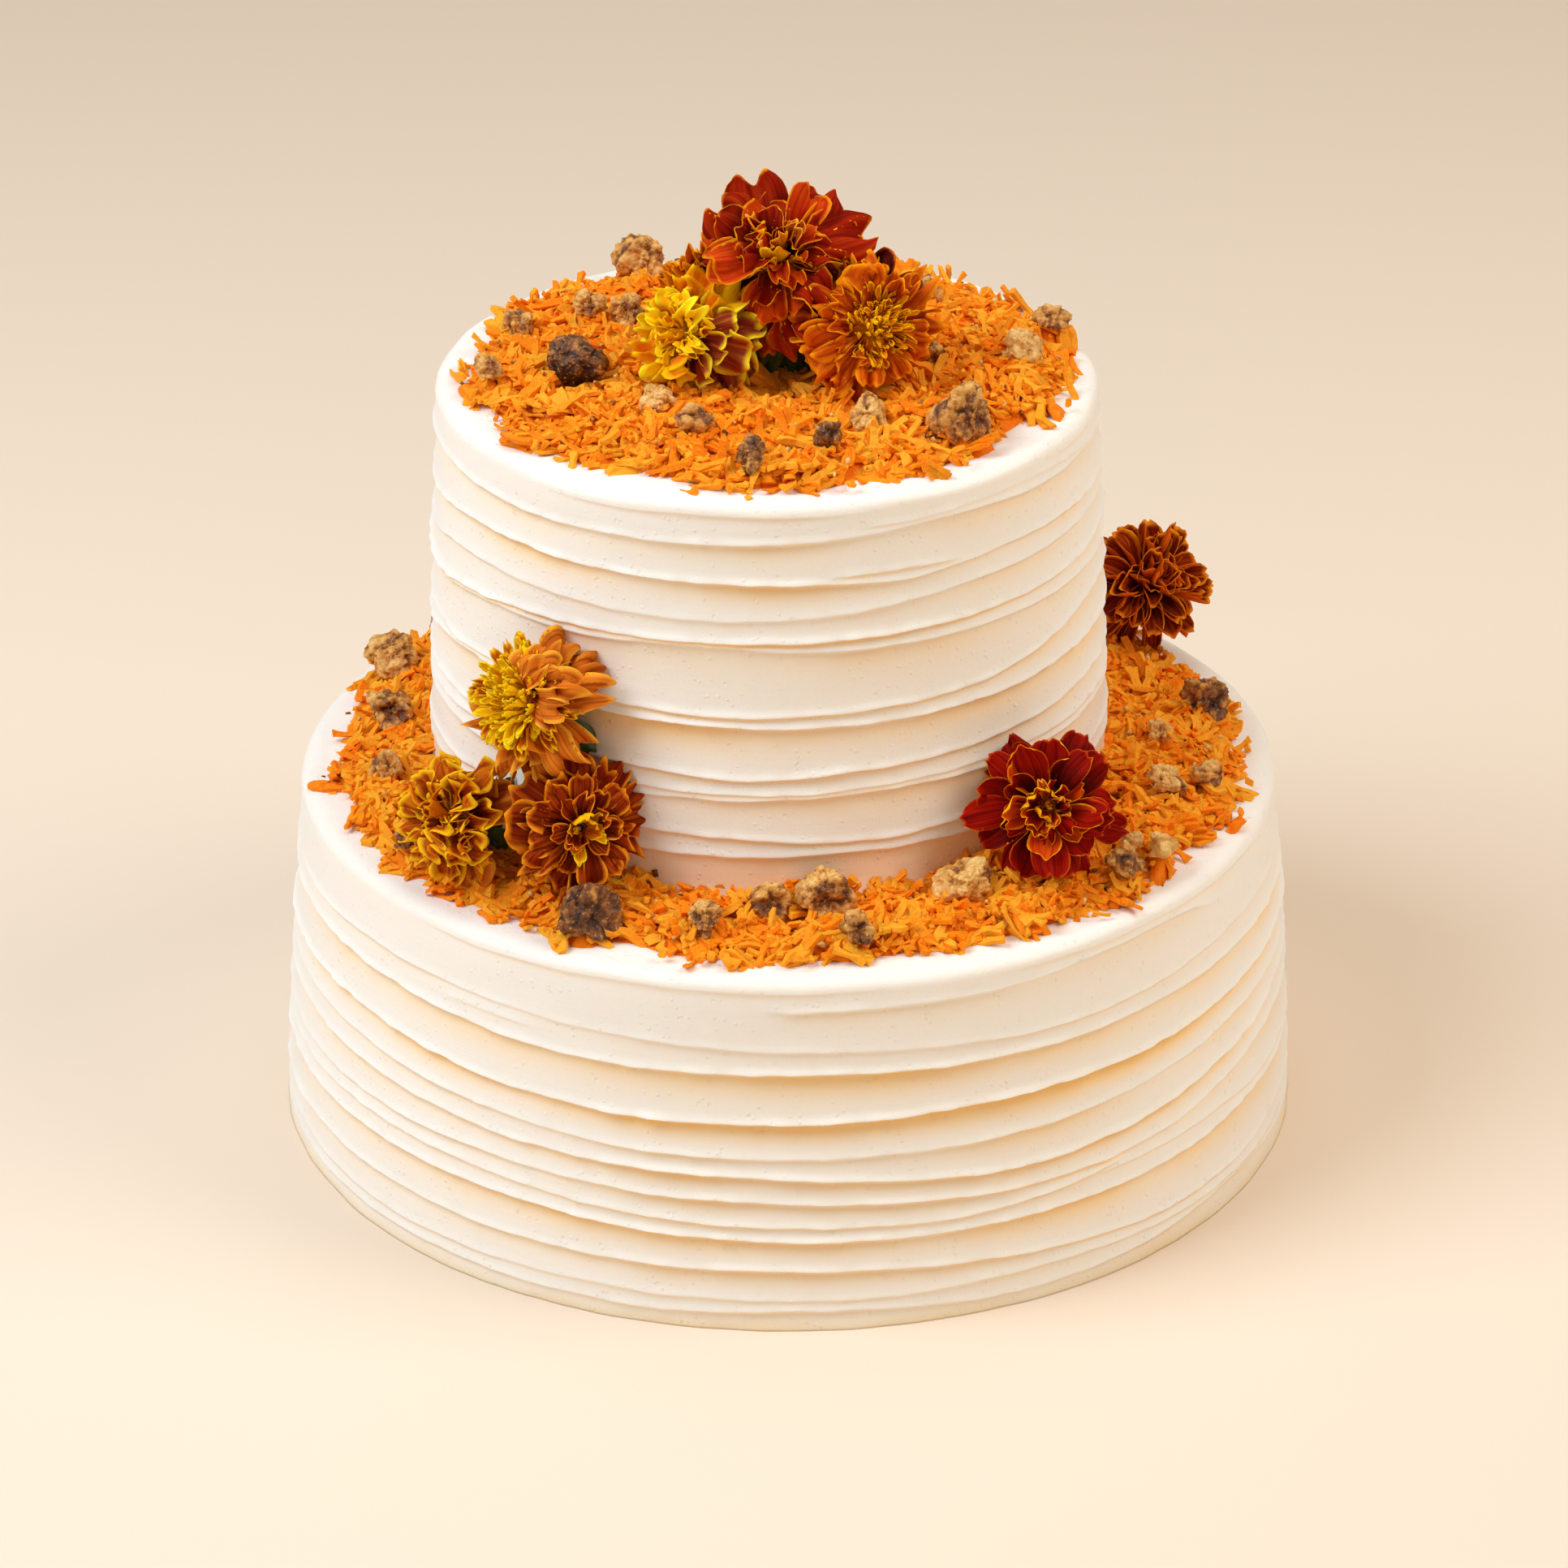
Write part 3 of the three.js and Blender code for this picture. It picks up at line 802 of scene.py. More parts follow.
def frosting_finish(settings):
    """Cream frosting with grain, pits and knife streaks: ivory lips and tops from a painted highlight, and
    warmer under the lips and in the pits from painted shade.
    """
    f = Finish("cream_frosting")
    at = f.place()
    streaks = f.noise(f.place((0.06, 0.06, 1)), 0.9, 3)
    grain = f.noise(at, 0.55, 2, 0.6)
    swell = f.noise(at, 22)
    pits = 1 - f.cells(at, 3.6).ramped(0.06, 0.17)
    blobs = 1 - f.cells(f.vector("ADD", at, (31, 7, 13)), 2.2).ramped(0.08, 0.26)
    rough = f.noise(at, 8, 2).ramped(0.42, 0.62)
    under = (f.attribute("recess") * (0.8 + swell * 0.6)).ramped(0.0, 1.0)
    # Lighter on lips and top: painted highlight.
    colour = f.mixed(f.attribute("lip"), tuple(settings.colour), tuple(settings.lip_highlight_colour))
    # Painted shade under the lips, in the recess colour.
    colour = f.mixed(under, colour, tuple(settings.recess_shade_colour))
    # The pits get a little painted shade.
    colour = f.mixed(pits * 0.1, colour, tuple(settings.recess_shade_colour))
    height = grain * 0.9 + streaks * 0.8 - pits * rough * 3.5 + blobs * rough * 3.2
    return f.finish(
        Base_Color=colour,
        Roughness=0.4 + grain * 0.2,
        Normal=f.bump(height, settings.grain, 0.22),
        Subsurface_Weight=0.4,
        Subsurface_Radius=(1.0, 0.6, 0.34),
        Subsurface_Scale=3.2 * MM,
        Specular_IOR_Level=0.3,
    )


class CAKE_OT_frosting(bpy.types.Operator):
    """Make the two frosted tiers"""

    bl_idname = "cake.frosting"
    bl_label = "Frosted Tiers"

    def execute(self, context):
        settings = context.scene.cake_frosting
        material = frosting_finish(settings)
        for tier in (LOWER_TIER, UPPER_TIER):
            frosted_tier(tier, settings, material)
        return {"FINISHED"}


# ---- Toppings' places ----


def toppings(kind):
    """Names of the CAD nodes of a kind of topping, in order."""
    return sorted(name for name in frame["nodes"] if name.startswith(kind))


def footprint(node):
    """Middle of a node's box in millimetres, and its mean radius seen from above."""
    low, high = (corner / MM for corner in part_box(node))
    middle = (low + high) / 2
    return middle, (high.x - low.x + high.y - low.y) / 4


# ---- Grated carrot ----

# A heap of grated carrot: the tier that it lies on, how far out it reaches, and the tier that stands in it.
Heap = namedtuple("Heap", "name node tier edge inner")
HEAPS = (
    Heap("upper", "carrot_upper", UPPER_TIER, 66.0, None),
    Heap("lower", "carrot_lower", LOWER_TIER, 105.5, UPPER_TIER),
)
BED_COLUMNS = 200
BED_ROWS = 30
BED_DEPTH = 2.9
BED_SUNK = 0.35  # how deep the bed's edge lies in the frosting
BED_UNDERSIDE = 0.9  # and its underside
BED_HOLE = 0.6  # radius of the hole in the middle of a bed that has no tier standing in it
TIER_SUNK = 0.5  # how far a bed reaches into the tier that stands in it
# A low tint, so that the bed comes out deeper and less pale than the shreds: painted shade in the gaps.
BED_SHADE = 0.15
SKIRT = 5.0  # how far the bed runs on past the heap's edge, in the frosting, for the shreds that lie loose
EDGE_SLOPE = 6.0  # how far in from its edge a heap reaches its full depth
EDGE_WAVES = ((1.3, 5, 0.6), (1.1, 9, 2.1))  # reach of the edge's waves, how many go round, and their start
EDGE_SWELL = Swell(1.5, 7, 11)
BED_LUMPS = (Swell(1.1, 11, 31), Swell(0.8, 5, 32))
BARE_SPOTS = Swell(1, 6, 33)
BARE_FROM = (0.45, 0.8)  # of that swell, where the carrot begins to thin out and where none is left
WALNUT_SUNK = 0.5  # how deep a walnut piece lies in the carrot at least

# Kinds of shred: length, width, thickness, bend in degrees, twist in degrees, and how many different ones.
ShredKind = namedtuple("ShredKind", "length width thickness bend twist count")
SHREDS = (
    ShredKind(14.0, 1.7, 1.1, 80, 50, 5),
    ShredKind(10.0, 2.0, 1.2, 60, 40, 4),
    ShredKind(6.0, 2.4, 1.3, 30, 20, 3),
)
BUNDLED = ShredKind(10.0, 2.0, 1.3, 30, 10, 4)
SHRED_CORNERS = ((-1, -0.8), (1, -1), (0.85, 0.9), (-0.9, 1))  # of a shred's section, across and up
SHRED_STEPS = 5
SHRED_UNEVEN = (0.5, 1.4)  # thinnest and thickest part of a shred, as shares of its width and thickness
FLAKE_CORNERS = 12
FLAKE_HALF = (4.8, 3.3)  # half of a flake's length and width
FLAKE_SAG = 0.6
BIT_HALF = (0.95, 0.65, 0.45)


def heap_edge(heap, azimuth):
    """How far out a heap reaches at each azimuth."""
    waves = sum(reach * np.sin(count * np.radians(azimuth) + start) for reach, count, start in EDGE_WAVES)
    return heap.edge + waves + swelled(points_at(*polar(azimuth, heap.edge)), EDGE_SWELL)


def bareness(x, y):
    """Where the carrot lies thin, from 0 to 1."""
    return smoothstep(swelled(points_at(x, y), BARE_SPOTS), *BARE_FROM)


def bed_depth(x, y, from_edge):
    """Depth of the carrot under the shreds: lumpy, and sunk in the frosting at its edge and bare spots."""
    full = smoothstep(from_edge, SKIRT - 1, SKIRT + EDGE_SLOPE + 2)
    lumps = swelled(points_at(x, y), *BED_LUMPS)
    bare = bareness(x, y) * (1 - 0.8 * smoothstep(from_edge, SKIRT + 3, SKIRT + 13))
    return BED_DEPTH * full * (1 + 0.45 * lumps) - BED_SUNK - 3 * bare * full


def walnut_seats(heap, x, y):
    """How high the carrot is heaped under each walnut piece, so that none stands clear of it."""
    seats = np.full_like(x, -1.0)
    for node in toppings(f"walnut_{heap.name}"):
        middle, radius = footprint(node)
        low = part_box(node)[0].z / MM - heap.tier.top + WALNUT_SUNK
        under = 1 - smoothstep(np.hypot(x - middle.x, y - middle.y), 0.4 * radius, 0.95 * radius)
        seats = np.maximum(seats, (low + 1) * under - 1)
    return seats


def cover_at(x, y, from_edge, seated):
    """How densely shreds lie: thinly on the frosting past the heap, and none under a walnut's middle."""
    cover = 0.1 * smoothstep(from_edge, 0, 2) + 0.9 * smoothstep(from_edge, SKIRT - 1.5, SKIRT + 2)
    cover *= 1 - 0.8 * bareness(x, y) * (from_edge < SKIRT + 8)
    cover = np.maximum(cover, seated)
    for node in toppings("walnut_"):
        middle, radius = footprint(node)
        cover *= smoothstep(np.hypot(x - middle.x, y - middle.y), 0.55 * radius, 0.8 * radius)
    return cover


def bed_mesh(heap, material):
    """The heap's core, which the shreds lie on, with how densely they lie in its attribute "cover"."""
    azimuth = round_azimuths(BED_COLUMNS)
    outer = np.minimum(heap_edge(heap, azimuth) + SKIRT, heap.tier.top_radius - RIM_ROUND - 1)
    end_x, end_y = polar(azimuth, outer, heap.tier.centre)
    if heap.inner:
        start_x, start_y = polar(azimuth, heap.inner.foot_radius - TIER_SUNK, heap.inner.centre)
    else:
        start_x, start_y = polar(azimuth, BED_HOLE, heap.tier.centre)
    width = np.hypot(end_x - start_x, end_y - start_y)
    points, cover = [], []
    for part in np.linspace(1, 0, BED_ROWS):
        x, y = start_x + part * (end_x - start_x), start_y + part * (end_y - start_y)
        from_edge = (1 - part) * width
        bed, seats = bed_depth(x, y, from_edge), walnut_seats(heap, x, y)
        points.append(points_at(x, y, top_height(heap.tier, x, y) + np.maximum(bed, seats)))
        cover.append(cover_at(x, y, from_edge, smoothstep(seats - bed, 0, 0.6)))
    points.append(points_at(start_x, start_y, heap.tier.top - BED_UNDERSIDE))
    cover.append(np.zeros(BED_COLUMNS))
    faces = ring_faces(len(points), BED_COLUMNS)
    last = (len(points) - 1) * BED_COLUMNS
    closing = [(last + i, last + (i + 1) % BED_COLUMNS) for i in range(BED_COLUMNS)]
    faces += [(a, b, b - last, a - last) for a, b in closing]
    points = np.concatenate(points)
    attributes = {"cover": np.concatenate(cover), "shade": np.full(len(points), BED_SHADE)}
    return new_mesh(f"carrot_bed_{heap.name}", points, faces, material, attributes=attributes)


def shred_mesh(kind, seed):
    """Points and faces of one grated shred along X: an uneven strip, bent and a little twisted."""
    random = np.random.default_rng(seed)
    along = np.linspace(-0.5, 0.5, SHRED_STEPS)
    bend = math.radians(kind.bend) * random.uniform(-1, 1)
    twist = math.radians(kind.twist) * random.uniform(-1, 1)
    angle = bend * along * 2
    x = kind.length * along * np.cos(angle * 0.6)
    z = kind.length * (1 - np.cos(angle)) / max(abs(bend), 0.2) * 0.25 * np.sign(bend or 1)
    half = kind.width / 2 * random.uniform(*SHRED_UNEVEN, SHRED_STEPS)
    thick = kind.thickness / 2 * random.uniform(*SHRED_UNEVEN, SHRED_STEPS)
    sway = kind.width * 0.45 * np.sin(along * random.uniform(2, 6) + random.uniform(0, 6))
    points, sides = [], len(SHRED_CORNERS)
    for i in range(SHRED_STEPS):
        turn = Matrix.Rotation(twist * along[i] * 2, 3, "X")
        for side, level in SHRED_CORNERS:
            corner = turn @ Vector((0, side * half[i], level * thick[i]))
            points.append((x[i], corner.y + sway[i], corner.z + z[i]))
    faces = []
    for i in range(SHRED_STEPS - 1):
        for k in range(sides):
            here, after = i * sides + k, i * sides + (k + 1) % sides
            faces.append((after, here, here + sides, after + sides))
    faces += [tuple(range(sides)), tuple(SHRED_STEPS * sides - 1 - k for k in range(sides))]
    return points, faces


def bundle_mesh(seed):
    """Points and faces of a few shreds that still cling together side by side."""
    random = np.random.default_rng(seed)
    points, faces = [], []
    for k in range(BUNDLED.count):
        strip, sides = shred_mesh(BUNDLED, seed * 10 + k)
        shift = (random.uniform(-1.6, 1.6), (k - 1.5) * BUNDLED.width * 0.8, random.uniform(-0.6, 0.6))
        faces += [tuple(corner + len(points) for corner in side) for side in sides]
        points += [tuple(np.add(point, shift)) for point in strip]
    return points, faces


def flake_mesh(seed):
    """Points and faces of a broad flake of carrot: a ragged, slightly domed plate."""
    random = np.random.default_rng(seed)
    angle = np.arange(FLAKE_CORNERS) * math.tau / FLAKE_CORNERS
    reach = random.uniform(0.7, 1.12, FLAKE_CORNERS) * (1 + 0.12 * np.cos(2 * angle))
    x, y = FLAKE_HALF[0] * reach * np.cos(angle), FLAKE_HALF[1] * reach * np.sin(angle)
    sag = FLAKE_SAG * reach**2
    crown = 0.6 - 0.3 * sag + random.uniform(-0.7, 0.5, FLAKE_CORNERS)
    points = [(0, 0, 0.5), *zip(0.55 * x, 0.55 * y, crown)]
    points += [*zip(x, y, 0.4 - sag), *zip(x * 0.96, y * 0.96, -0.7 - sag), (0, 0, -0.8)]
    rings = [[1 + ring * FLAKE_CORNERS + i for i in range(FLAKE_CORNERS)] for ring in range(3)]
    faces = fan(0, rings[0], up=True) + fan(len(points) - 1, rings[2], up=False)
    for upper, lower in zip(rings, rings[1:]):
        for i in range(FLAKE_CORNERS):
            after = (i + 1) % FLAKE_CORNERS
            faces.append((upper[i], lower[i], lower[after], upper[after]))
    return points, faces


def bit_mesh(seed):
    """Points and faces of a small bit, of carrot or of walnut: an uneven block."""
    random = np.random.default_rng(seed)
    cube = np.array(list(itertools.product((-1, 1), repeat=3)), float)
    points = cube * random.uniform(0.55, 1.1, (8, 3)) * BIT_HALF
    faces = [(0, 1, 3, 2), (4, 6, 7, 5), (0, 4, 5, 1), (2, 3, 7, 6), (0, 2, 6, 4), (1, 5, 7, 3)]
    return points, faces


def template_set(name, meshes):
    """A collection with one object for each mesh, for a geometry tree to pick from."""
    collection = bpy.data.collections.new(name)
    bpy.context.scene.collection.children.link(collection)
    for mesh in meshes:
        collection.objects.link(bpy.data.objects.new(mesh.name, mesh))
    return collection


def cleared(collection):
    """Removes a collection and its objects."""
    for item in list(collection.objects):
        bpy.data.objects.remove(item)
    bpy.data.collections.remove(collection)


CLUMP_SIZE = 0.02  # metres over which shreds lie roughly alongside each other
CLUMP_TURN = 16.0  # how far clumps differ in their turn, in radians
STRAY_TURN = 0.8  # how far a shred is turned out of its clump, in radians
LENGTHS = (0.75, 1.2)  # shortest and longest, as a share of a thing's own size
STREWN_INPUTS = {
    "Shapes": bpy.types.Collection,
    "Material": bpy.types.Material,
    "Density": float,
    "Lift": float,
    "Lift spread": float,
    "Tilt": float,
    "Smallest": float,
    "Largest": float,
    "Clumps": float,
    "Seed": int,
}


def strewn_tree():
    """Strews shapes over a surface, turned at random, tilted a little and lifted off it."""
    g = Growth("strewn", STREWN_INPUTS)
    given = g.given
    cover = g.field("cover", "FLOAT")
    scatter = g.tree.nodes.new("GeometryNodeDistributePointsOnFaces")
    g.feed(scatter.inputs["Mesh"], given["Geometry"])
    g.feed(scatter.inputs["Density"], given["Density"] * cover)
    g.feed(scatter.inputs["Seed"], given["Seed"])
    tilt = given["Tilt"]
    clump = g.node("ShaderNodeTexNoise", None, {"Scale": given["Clumps"], "Detail": 0.0})
    turn = g.combined(
        g.random(-1.0, 1.0, given["Seed"] + 1) * tilt,
        g.random(-1.0, 1.0, given["Seed"] + 2) * tilt,
        clump * CLUMP_TURN + g.random(-STRAY_TURN, STRAY_TURN, given["Seed"] + 3),
    )
    turned = g.node("FunctionNodeEulerToRotation", None, {0: turn})
    sockets = {0: Number(g, scatter.outputs["Rotation"]), 1: turned}
    facing = g.node("FunctionNodeRotateRotation", {"rotation_space": "LOCAL"}, sockets)
    whole = g.random(0.0, 1.0, given["Seed"] + 4)
    size = given["Smallest"] + (given["Largest"] - given["Smallest"]) * whole
    scale = g.combined(size * g.random(*LENGTHS, given["Seed"] + 5), size, size)
    points = Number(g, scatter.outputs["Points"])
    strewn = g.placed(points, g.picked(given["Shapes"]), facing, scale)
    lift = given["Lift"] + given["Lift spread"] * g.random(0.0, 1.0, given["Seed"] + 6)
    sockets = {"Instances": strewn, "Translation": g.combined(0.0, 0.0, lift), "Local Space": False}
    lifted = g.node("GeometryNodeTranslateInstances", None, sockets)
    settings = {"data_type": "FLOAT", "domain": "INSTANCE"}
    sockets = {"Geometry": lifted, "Name": "shade", "Value": g.random(0.0, 1.0, given["Seed"] + 7)}
    return g.ended(g.node("GeometryNodeStoreNamedAttribute", settings, sockets))


# Layers of a heap from the bottom up: shapes, share of the density, how far they are lifted off the bed at
# least and how much more at most, tilt in degrees, and smallest and largest size.
Layer = namedtuple("Layer", "shapes share lift spread tilt smallest largest")
LAYERS = (
    Layer("shreds", 0.27, 0.2, 0.6, 16, 0.5, 1.0),
    Layer("flakes", 0.1, 0.5, 1.2, 34, 0.4, 1.2),
    Layer("bundles", 0.11, 0.6, 1.4, 30, 0.55, 1.05),
    Layer("shreds", 0.3, 0.9, 1.9, 42, 0.45, 1.05),
    Layer("bits", 0.35, 0.7, 1.9, 60, 0.7, 1.6),
)
PER_SQUARE_CM = 1e4  # of a density, in things for each square metre


def carrot_shapes():
    """A collection of templates for each kind of loose carrot, by its name."""
    seeded = [(kind, 40 + 10 * i + k) for i, kind in enumerate(SHREDS) for k in range(kind.count)]
    kinds = {
        "shreds": [shred_mesh(kind, seed) for kind, seed in seeded],
        "flakes": [flake_mesh(70 + k) for k in range(6)],
        "bundles": [bundle_mesh(80 + k) for k in range(4)],
        "bits": [bit_mesh(90 + k) for k in range(6)],
    }
    sets = {}
    for name, shapes in kinds.items():
        meshes = [new_mesh(f"{name}_{i}", *shape, smooth=False) for i, shape in enumerate(shapes)]
        sets[name] = template_set(name, meshes)
    return sets


def strewn_values(layer, shapes, material, density, seed):
    """What a layer of loose shapes gives the strewing tree."""
    return {
        "Shapes": shapes,
        "Material": material,
        "Density": density * PER_SQUARE_CM * layer.share,
        "Lift": layer.lift * MM,
        "Lift spread": layer.spread * MM,
        "Tilt": math.radians(layer.tilt),
        "Smallest": layer.smallest,
        "Largest": layer.largest,
        "Clumps": 1 / CLUMP_SIZE,
        "Seed": seed,
    }


def strewn_heap(heap, bed, tree, shapes, settings, material):
    """All the loose carrot of a heap, as one piece."""
    items = []
    for i, layer in enumerate(LAYERS):
        seed = settings.seed + 10 * i
        values = strewn_values(layer, shapes[layer.shapes], material, settings.density, seed)
        items.append(tree.grown(f"layer_{i}", bed, values))
    return joined(f"carrot_shreds_{heap.name}", items)


def carrot_finish(name, settings, gap_shade):
    """Carrot: orange with paler dry, lit edges and deeper moist patches, finely grained; gap_shade deepens
    it all, as painted shade on the bed that shows between the shreds.
    """
    f = Finish(name)
    at = f.place()
    tint = f.attribute("shade")
    patches = f.noise(at, 3.5)
    grain = f.noise(at, 0.8, 3, 0.7)
    pale = (tint * 0.7 + patches * 0.4 + grain * 0.8).ramped(0.68, 1.25)
    deep = (1.4 - tint * 0.5 - patches * 0.45 - grain * 0.9).ramped(0.54, 1.02)
    colour = f.mixed(pale, tuple(settings.orange), tuple(settings.pale))
    colour = f.mixed(deep * 0.7 + gap_shade, colour, tuple(settings.deep))
    return f.finish(
        Base_Color=colour,
        Roughness=0.62 - deep * 0.25,
        Normal=f.bump(grain, 0.8, 0.5),
        Specular_IOR_Level=0.12,
        Subsurface_Weight=0.3,
        Subsurface_Radius=(1.0, 0.45, 0.05),
        Subsurface_Scale=1.2 * MM,
    )


class CAKE_OT_carrot(bpy.types.Operator):
    """Strew grated carrot over both tiers"""

    bl_idname = "cake.carrot"
    bl_label = "Grated Carrot"

    def execute(self, context):
        settings = context.scene.cake_carrot
        # The bed is darker, as painted shade in the gaps between the shreds.
        bed_material = carrot_finish("moist_carrot", settings, 0.3)
        material = carrot_finish("grated_carrot", settings, 0.0)
        tree = strewn_tree()
        shapes = carrot_shapes()
        for heap in HEAPS:
            bed = bed_mesh(heap, bed_material)
            as_piece(object_of(bed), "grated_carrot", heap.node)
            strewn = strewn_heap(heap, bed, tree, shapes, settings, material)
            as_piece(strewn, "grated_carrot", heap.node)
        for collection in shapes.values():
            cleared(collection)
        return {"FINISHED"}


# ---- Candied walnuts ----

# How dark each piece is, from 0, broken cream flesh, to 1, burnt sugar, and how deep the hollow in it is,
# from 0 to 1. Others have WALNUT_LOOK.
WALNUT_LOOKS = {
    "walnut_upper_01": (0.3, 0.0),
    "walnut_upper_02": (0.34, 0.3),
    "walnut_upper_03": (0.3, 0.5),
    "walnut_upper_04": (0.66, 0.0),
    "walnut_upper_05": (0.26, 0.6),
    "walnut_upper_06": (0.24, 0.4),
    "walnut_upper_07": (0.06, 0.0),
    "walnut_upper_09": (0.56, 0.3),
    "walnut_upper_10": (0.56, 0.0),
    "walnut_upper_11": (0.24, 0.0),
    "walnut_upper_12": (0.4, 0.3),
    "walnut_upper_13": (0.06, 0.0),
    "walnut_lower_01": (0.2, 0.4),
    "walnut_lower_02": (0.38, 0.8),
    "walnut_lower_03": (0.2, 0.2),
    "walnut_lower_04": (0.5, 0.0),
    "walnut_lower_05": (0.7, 0.5),
    "walnut_lower_07": (0.36, 1.0),
    "walnut_lower_08": (0.28, 0.4),
    "walnut_lower_09": (0.3, 0.8),
    "walnut_lower_10": (0.14, 0.0),
    "walnut_lower_11": (0.52, 0.3),
    "walnut_lower_12": (0.24, 0.2),
    "walnut_lower_13": (0.16, 0.0),
    "walnut_lower_15": (0.12, 0.0),
    "walnut_lower_16": (0.1, 0.0),
    "walnut_lower_17": (0.5, 0.0),
}
WALNUT_LOOK = (0.34, 0.2)
HOLLOW_FACING = (0.25, -0.9, 0.35)
CRUMB_TONES = (-0.2, 0.1, 0.3, 0.55, 0.0, 0.75)
CRUMBS = Layer("crumbs", 1.0, 1.8, 1.6, 80, 0.35, 1.1)
CRUMB_SEED = 7
LARGE_NUT = 8.0  # across, over which a piece has the finer mesh
GROWN_OUT = 1.08  # the crust stands this much outside the CAD corners
BREAKS = 8  # flat faces on each piece
BREAK_AT = (0.58, 0.98)  # their least and greatest distance from its middle, as shares of its radius
GRAZING = 0.05  # a face turned further away than this doesn't cut
CORNER_PULL = 9  # how sharply the crust bends from one CAD corner to the next
LEAST_REACH = 0.3  # of the crust from a piece's middle, as a share of its radius
LOBE = 0.9  # size of its lobes, folds and creases, as shares of its radius
FOLD = 1.1
CREASE = 0.42
KNOB = 3.1  # distance between its knobs
CRAG = 1.5  # and between the crags on them
ROUGH = 1.9  # size of its roughness


def ball(subdivisions):
    """Directions and triangles of an even ball."""
    form = bmesh.new()
    bmesh.ops.create_icosphere(form, subdivisions=subdivisions, radius=1)
    directions = np.array([vertex.co[:] for vertex in form.verts])
    faces = [[vertex.index for vertex in face.verts] for face in form.faces]
    form.free()
    return directions, faces


def reach_of(node, directions):
    """Middle of a CAD node and how far its skin reaches in each direction, smoothed between its corners."""
    corners = np.array([vertex.co[:] for vertex in frame["nodes"][node].data.vertices]) / MM
    middle = (corners.min(0) + corners.max(0)) / 2
    out = corners - middle
    far = np.linalg.norm(out, axis=1)
    weight = np.exp(CORNER_PULL * (directions @ (out / far[:, None]).T))
    return middle, (weight @ far) / weight.sum(1)


def broken_faces(directions, radius, seed):
    """How far a ray goes in each direction before it meets one of the flat faces of the broken piece."""
    random = np.random.default_rng(seed)
    normals = random.normal(size=(BREAKS, 3)) * (1, 1, 0.7)
    normals /= np.linalg.norm(normals, axis=1, keepdims=True)
    away = radius * random.uniform(*BREAK_AT, BREAKS)
    facing = directions @ normals.T
    return np.where(facing > GRAZING, away / np.maximum(facing, GRAZING), np.inf).min(axis=1)


def furrow(directions, size, seed):
    """Narrow winding valleys between rounded folds: 1 along a valley's floor and 0 on the folds."""
    return smoothstep(1 - np.abs(soft_noise(directions, size, seed)) * 3.2, 0, 1)


def walnut_mesh(node, index, settings, material):
    """A broken piece of walnut: folds and furrows under a thin crust of sugar, and in some a hollow."""
    _, radius = footprint(node)
    directions, faces = ball(6 if 2 * radius > LARGE_NUT else 5)
    middle, reach = reach_of(node, directions)
    reach = np.minimum(reach, broken_faces(directions, radius, index))
    tone, hollowed = WALNUT_LOOKS.get(node, WALNUT_LOOK)
    skin = directions * radius
    grain = settings.grain / MM
    folds = furrow(directions, FOLD, 100 + index)
    creases = furrow(directions, CREASE, 150 + index)
    hollow_at = np.array(HOLLOW_FACING) / np.linalg.norm(HOLLOW_FACING)
    wander = 0.25 * soft_noise(directions, 0.4, 200 + index)
    hollow = hollowed * smoothstep(directions @ hollow_at + wander, 0.62, 0.9)
    rough = layered_noise(skin, ROUGH, 300 + index)
    grains = 1 - np.clip(scattered_cells(skin, grain, 400 + index), 0, 1)
    lobes = soft_noise(directions, LOBE, 500 + index)
    knobs = 1 - scattered_cells(skin, KNOB, 600 + index) ** 1.5
    crags = 1 - scattered_cells(skin, CRAG, 700 + index)
    reach = reach * GROWN_OUT * (1.0 + 0.24 * lobes - 0.13 * folds - 0.04 * creases - 0.5 * hollow)
    reach += 1.3 * (knobs - 0.55) + 0.6 * (crags - 0.5) + 0.4 * rough + 0.5 * grain * (grains - 0.5)
    stretch = np.random.default_rng(index).uniform(0.84, 1.14, 3)
    points = middle + directions * stretch * np.maximum(reach, LEAST_REACH * radius)[:, None]
    # Darker between the knobs and in the hollow: painted shade; the folds darken with the walnut's brown
    # skin.
    shade_between_knobs = smoothstep(0.6 - knobs, 0, 0.5)
    attributes = {
        "tone": np.full(len(points), tone),
        "crust": np.clip(grains * 1.4 - 0.4, 0, 1) * (1 - hollow),
        "fold": np.clip(0.5 * folds + 0.2 * creases + hollow + 1.1 * shade_between_knobs, 0, 1),
    }
    return new_mesh(node + "_crusted", points, faces, material, attributes=attributes)


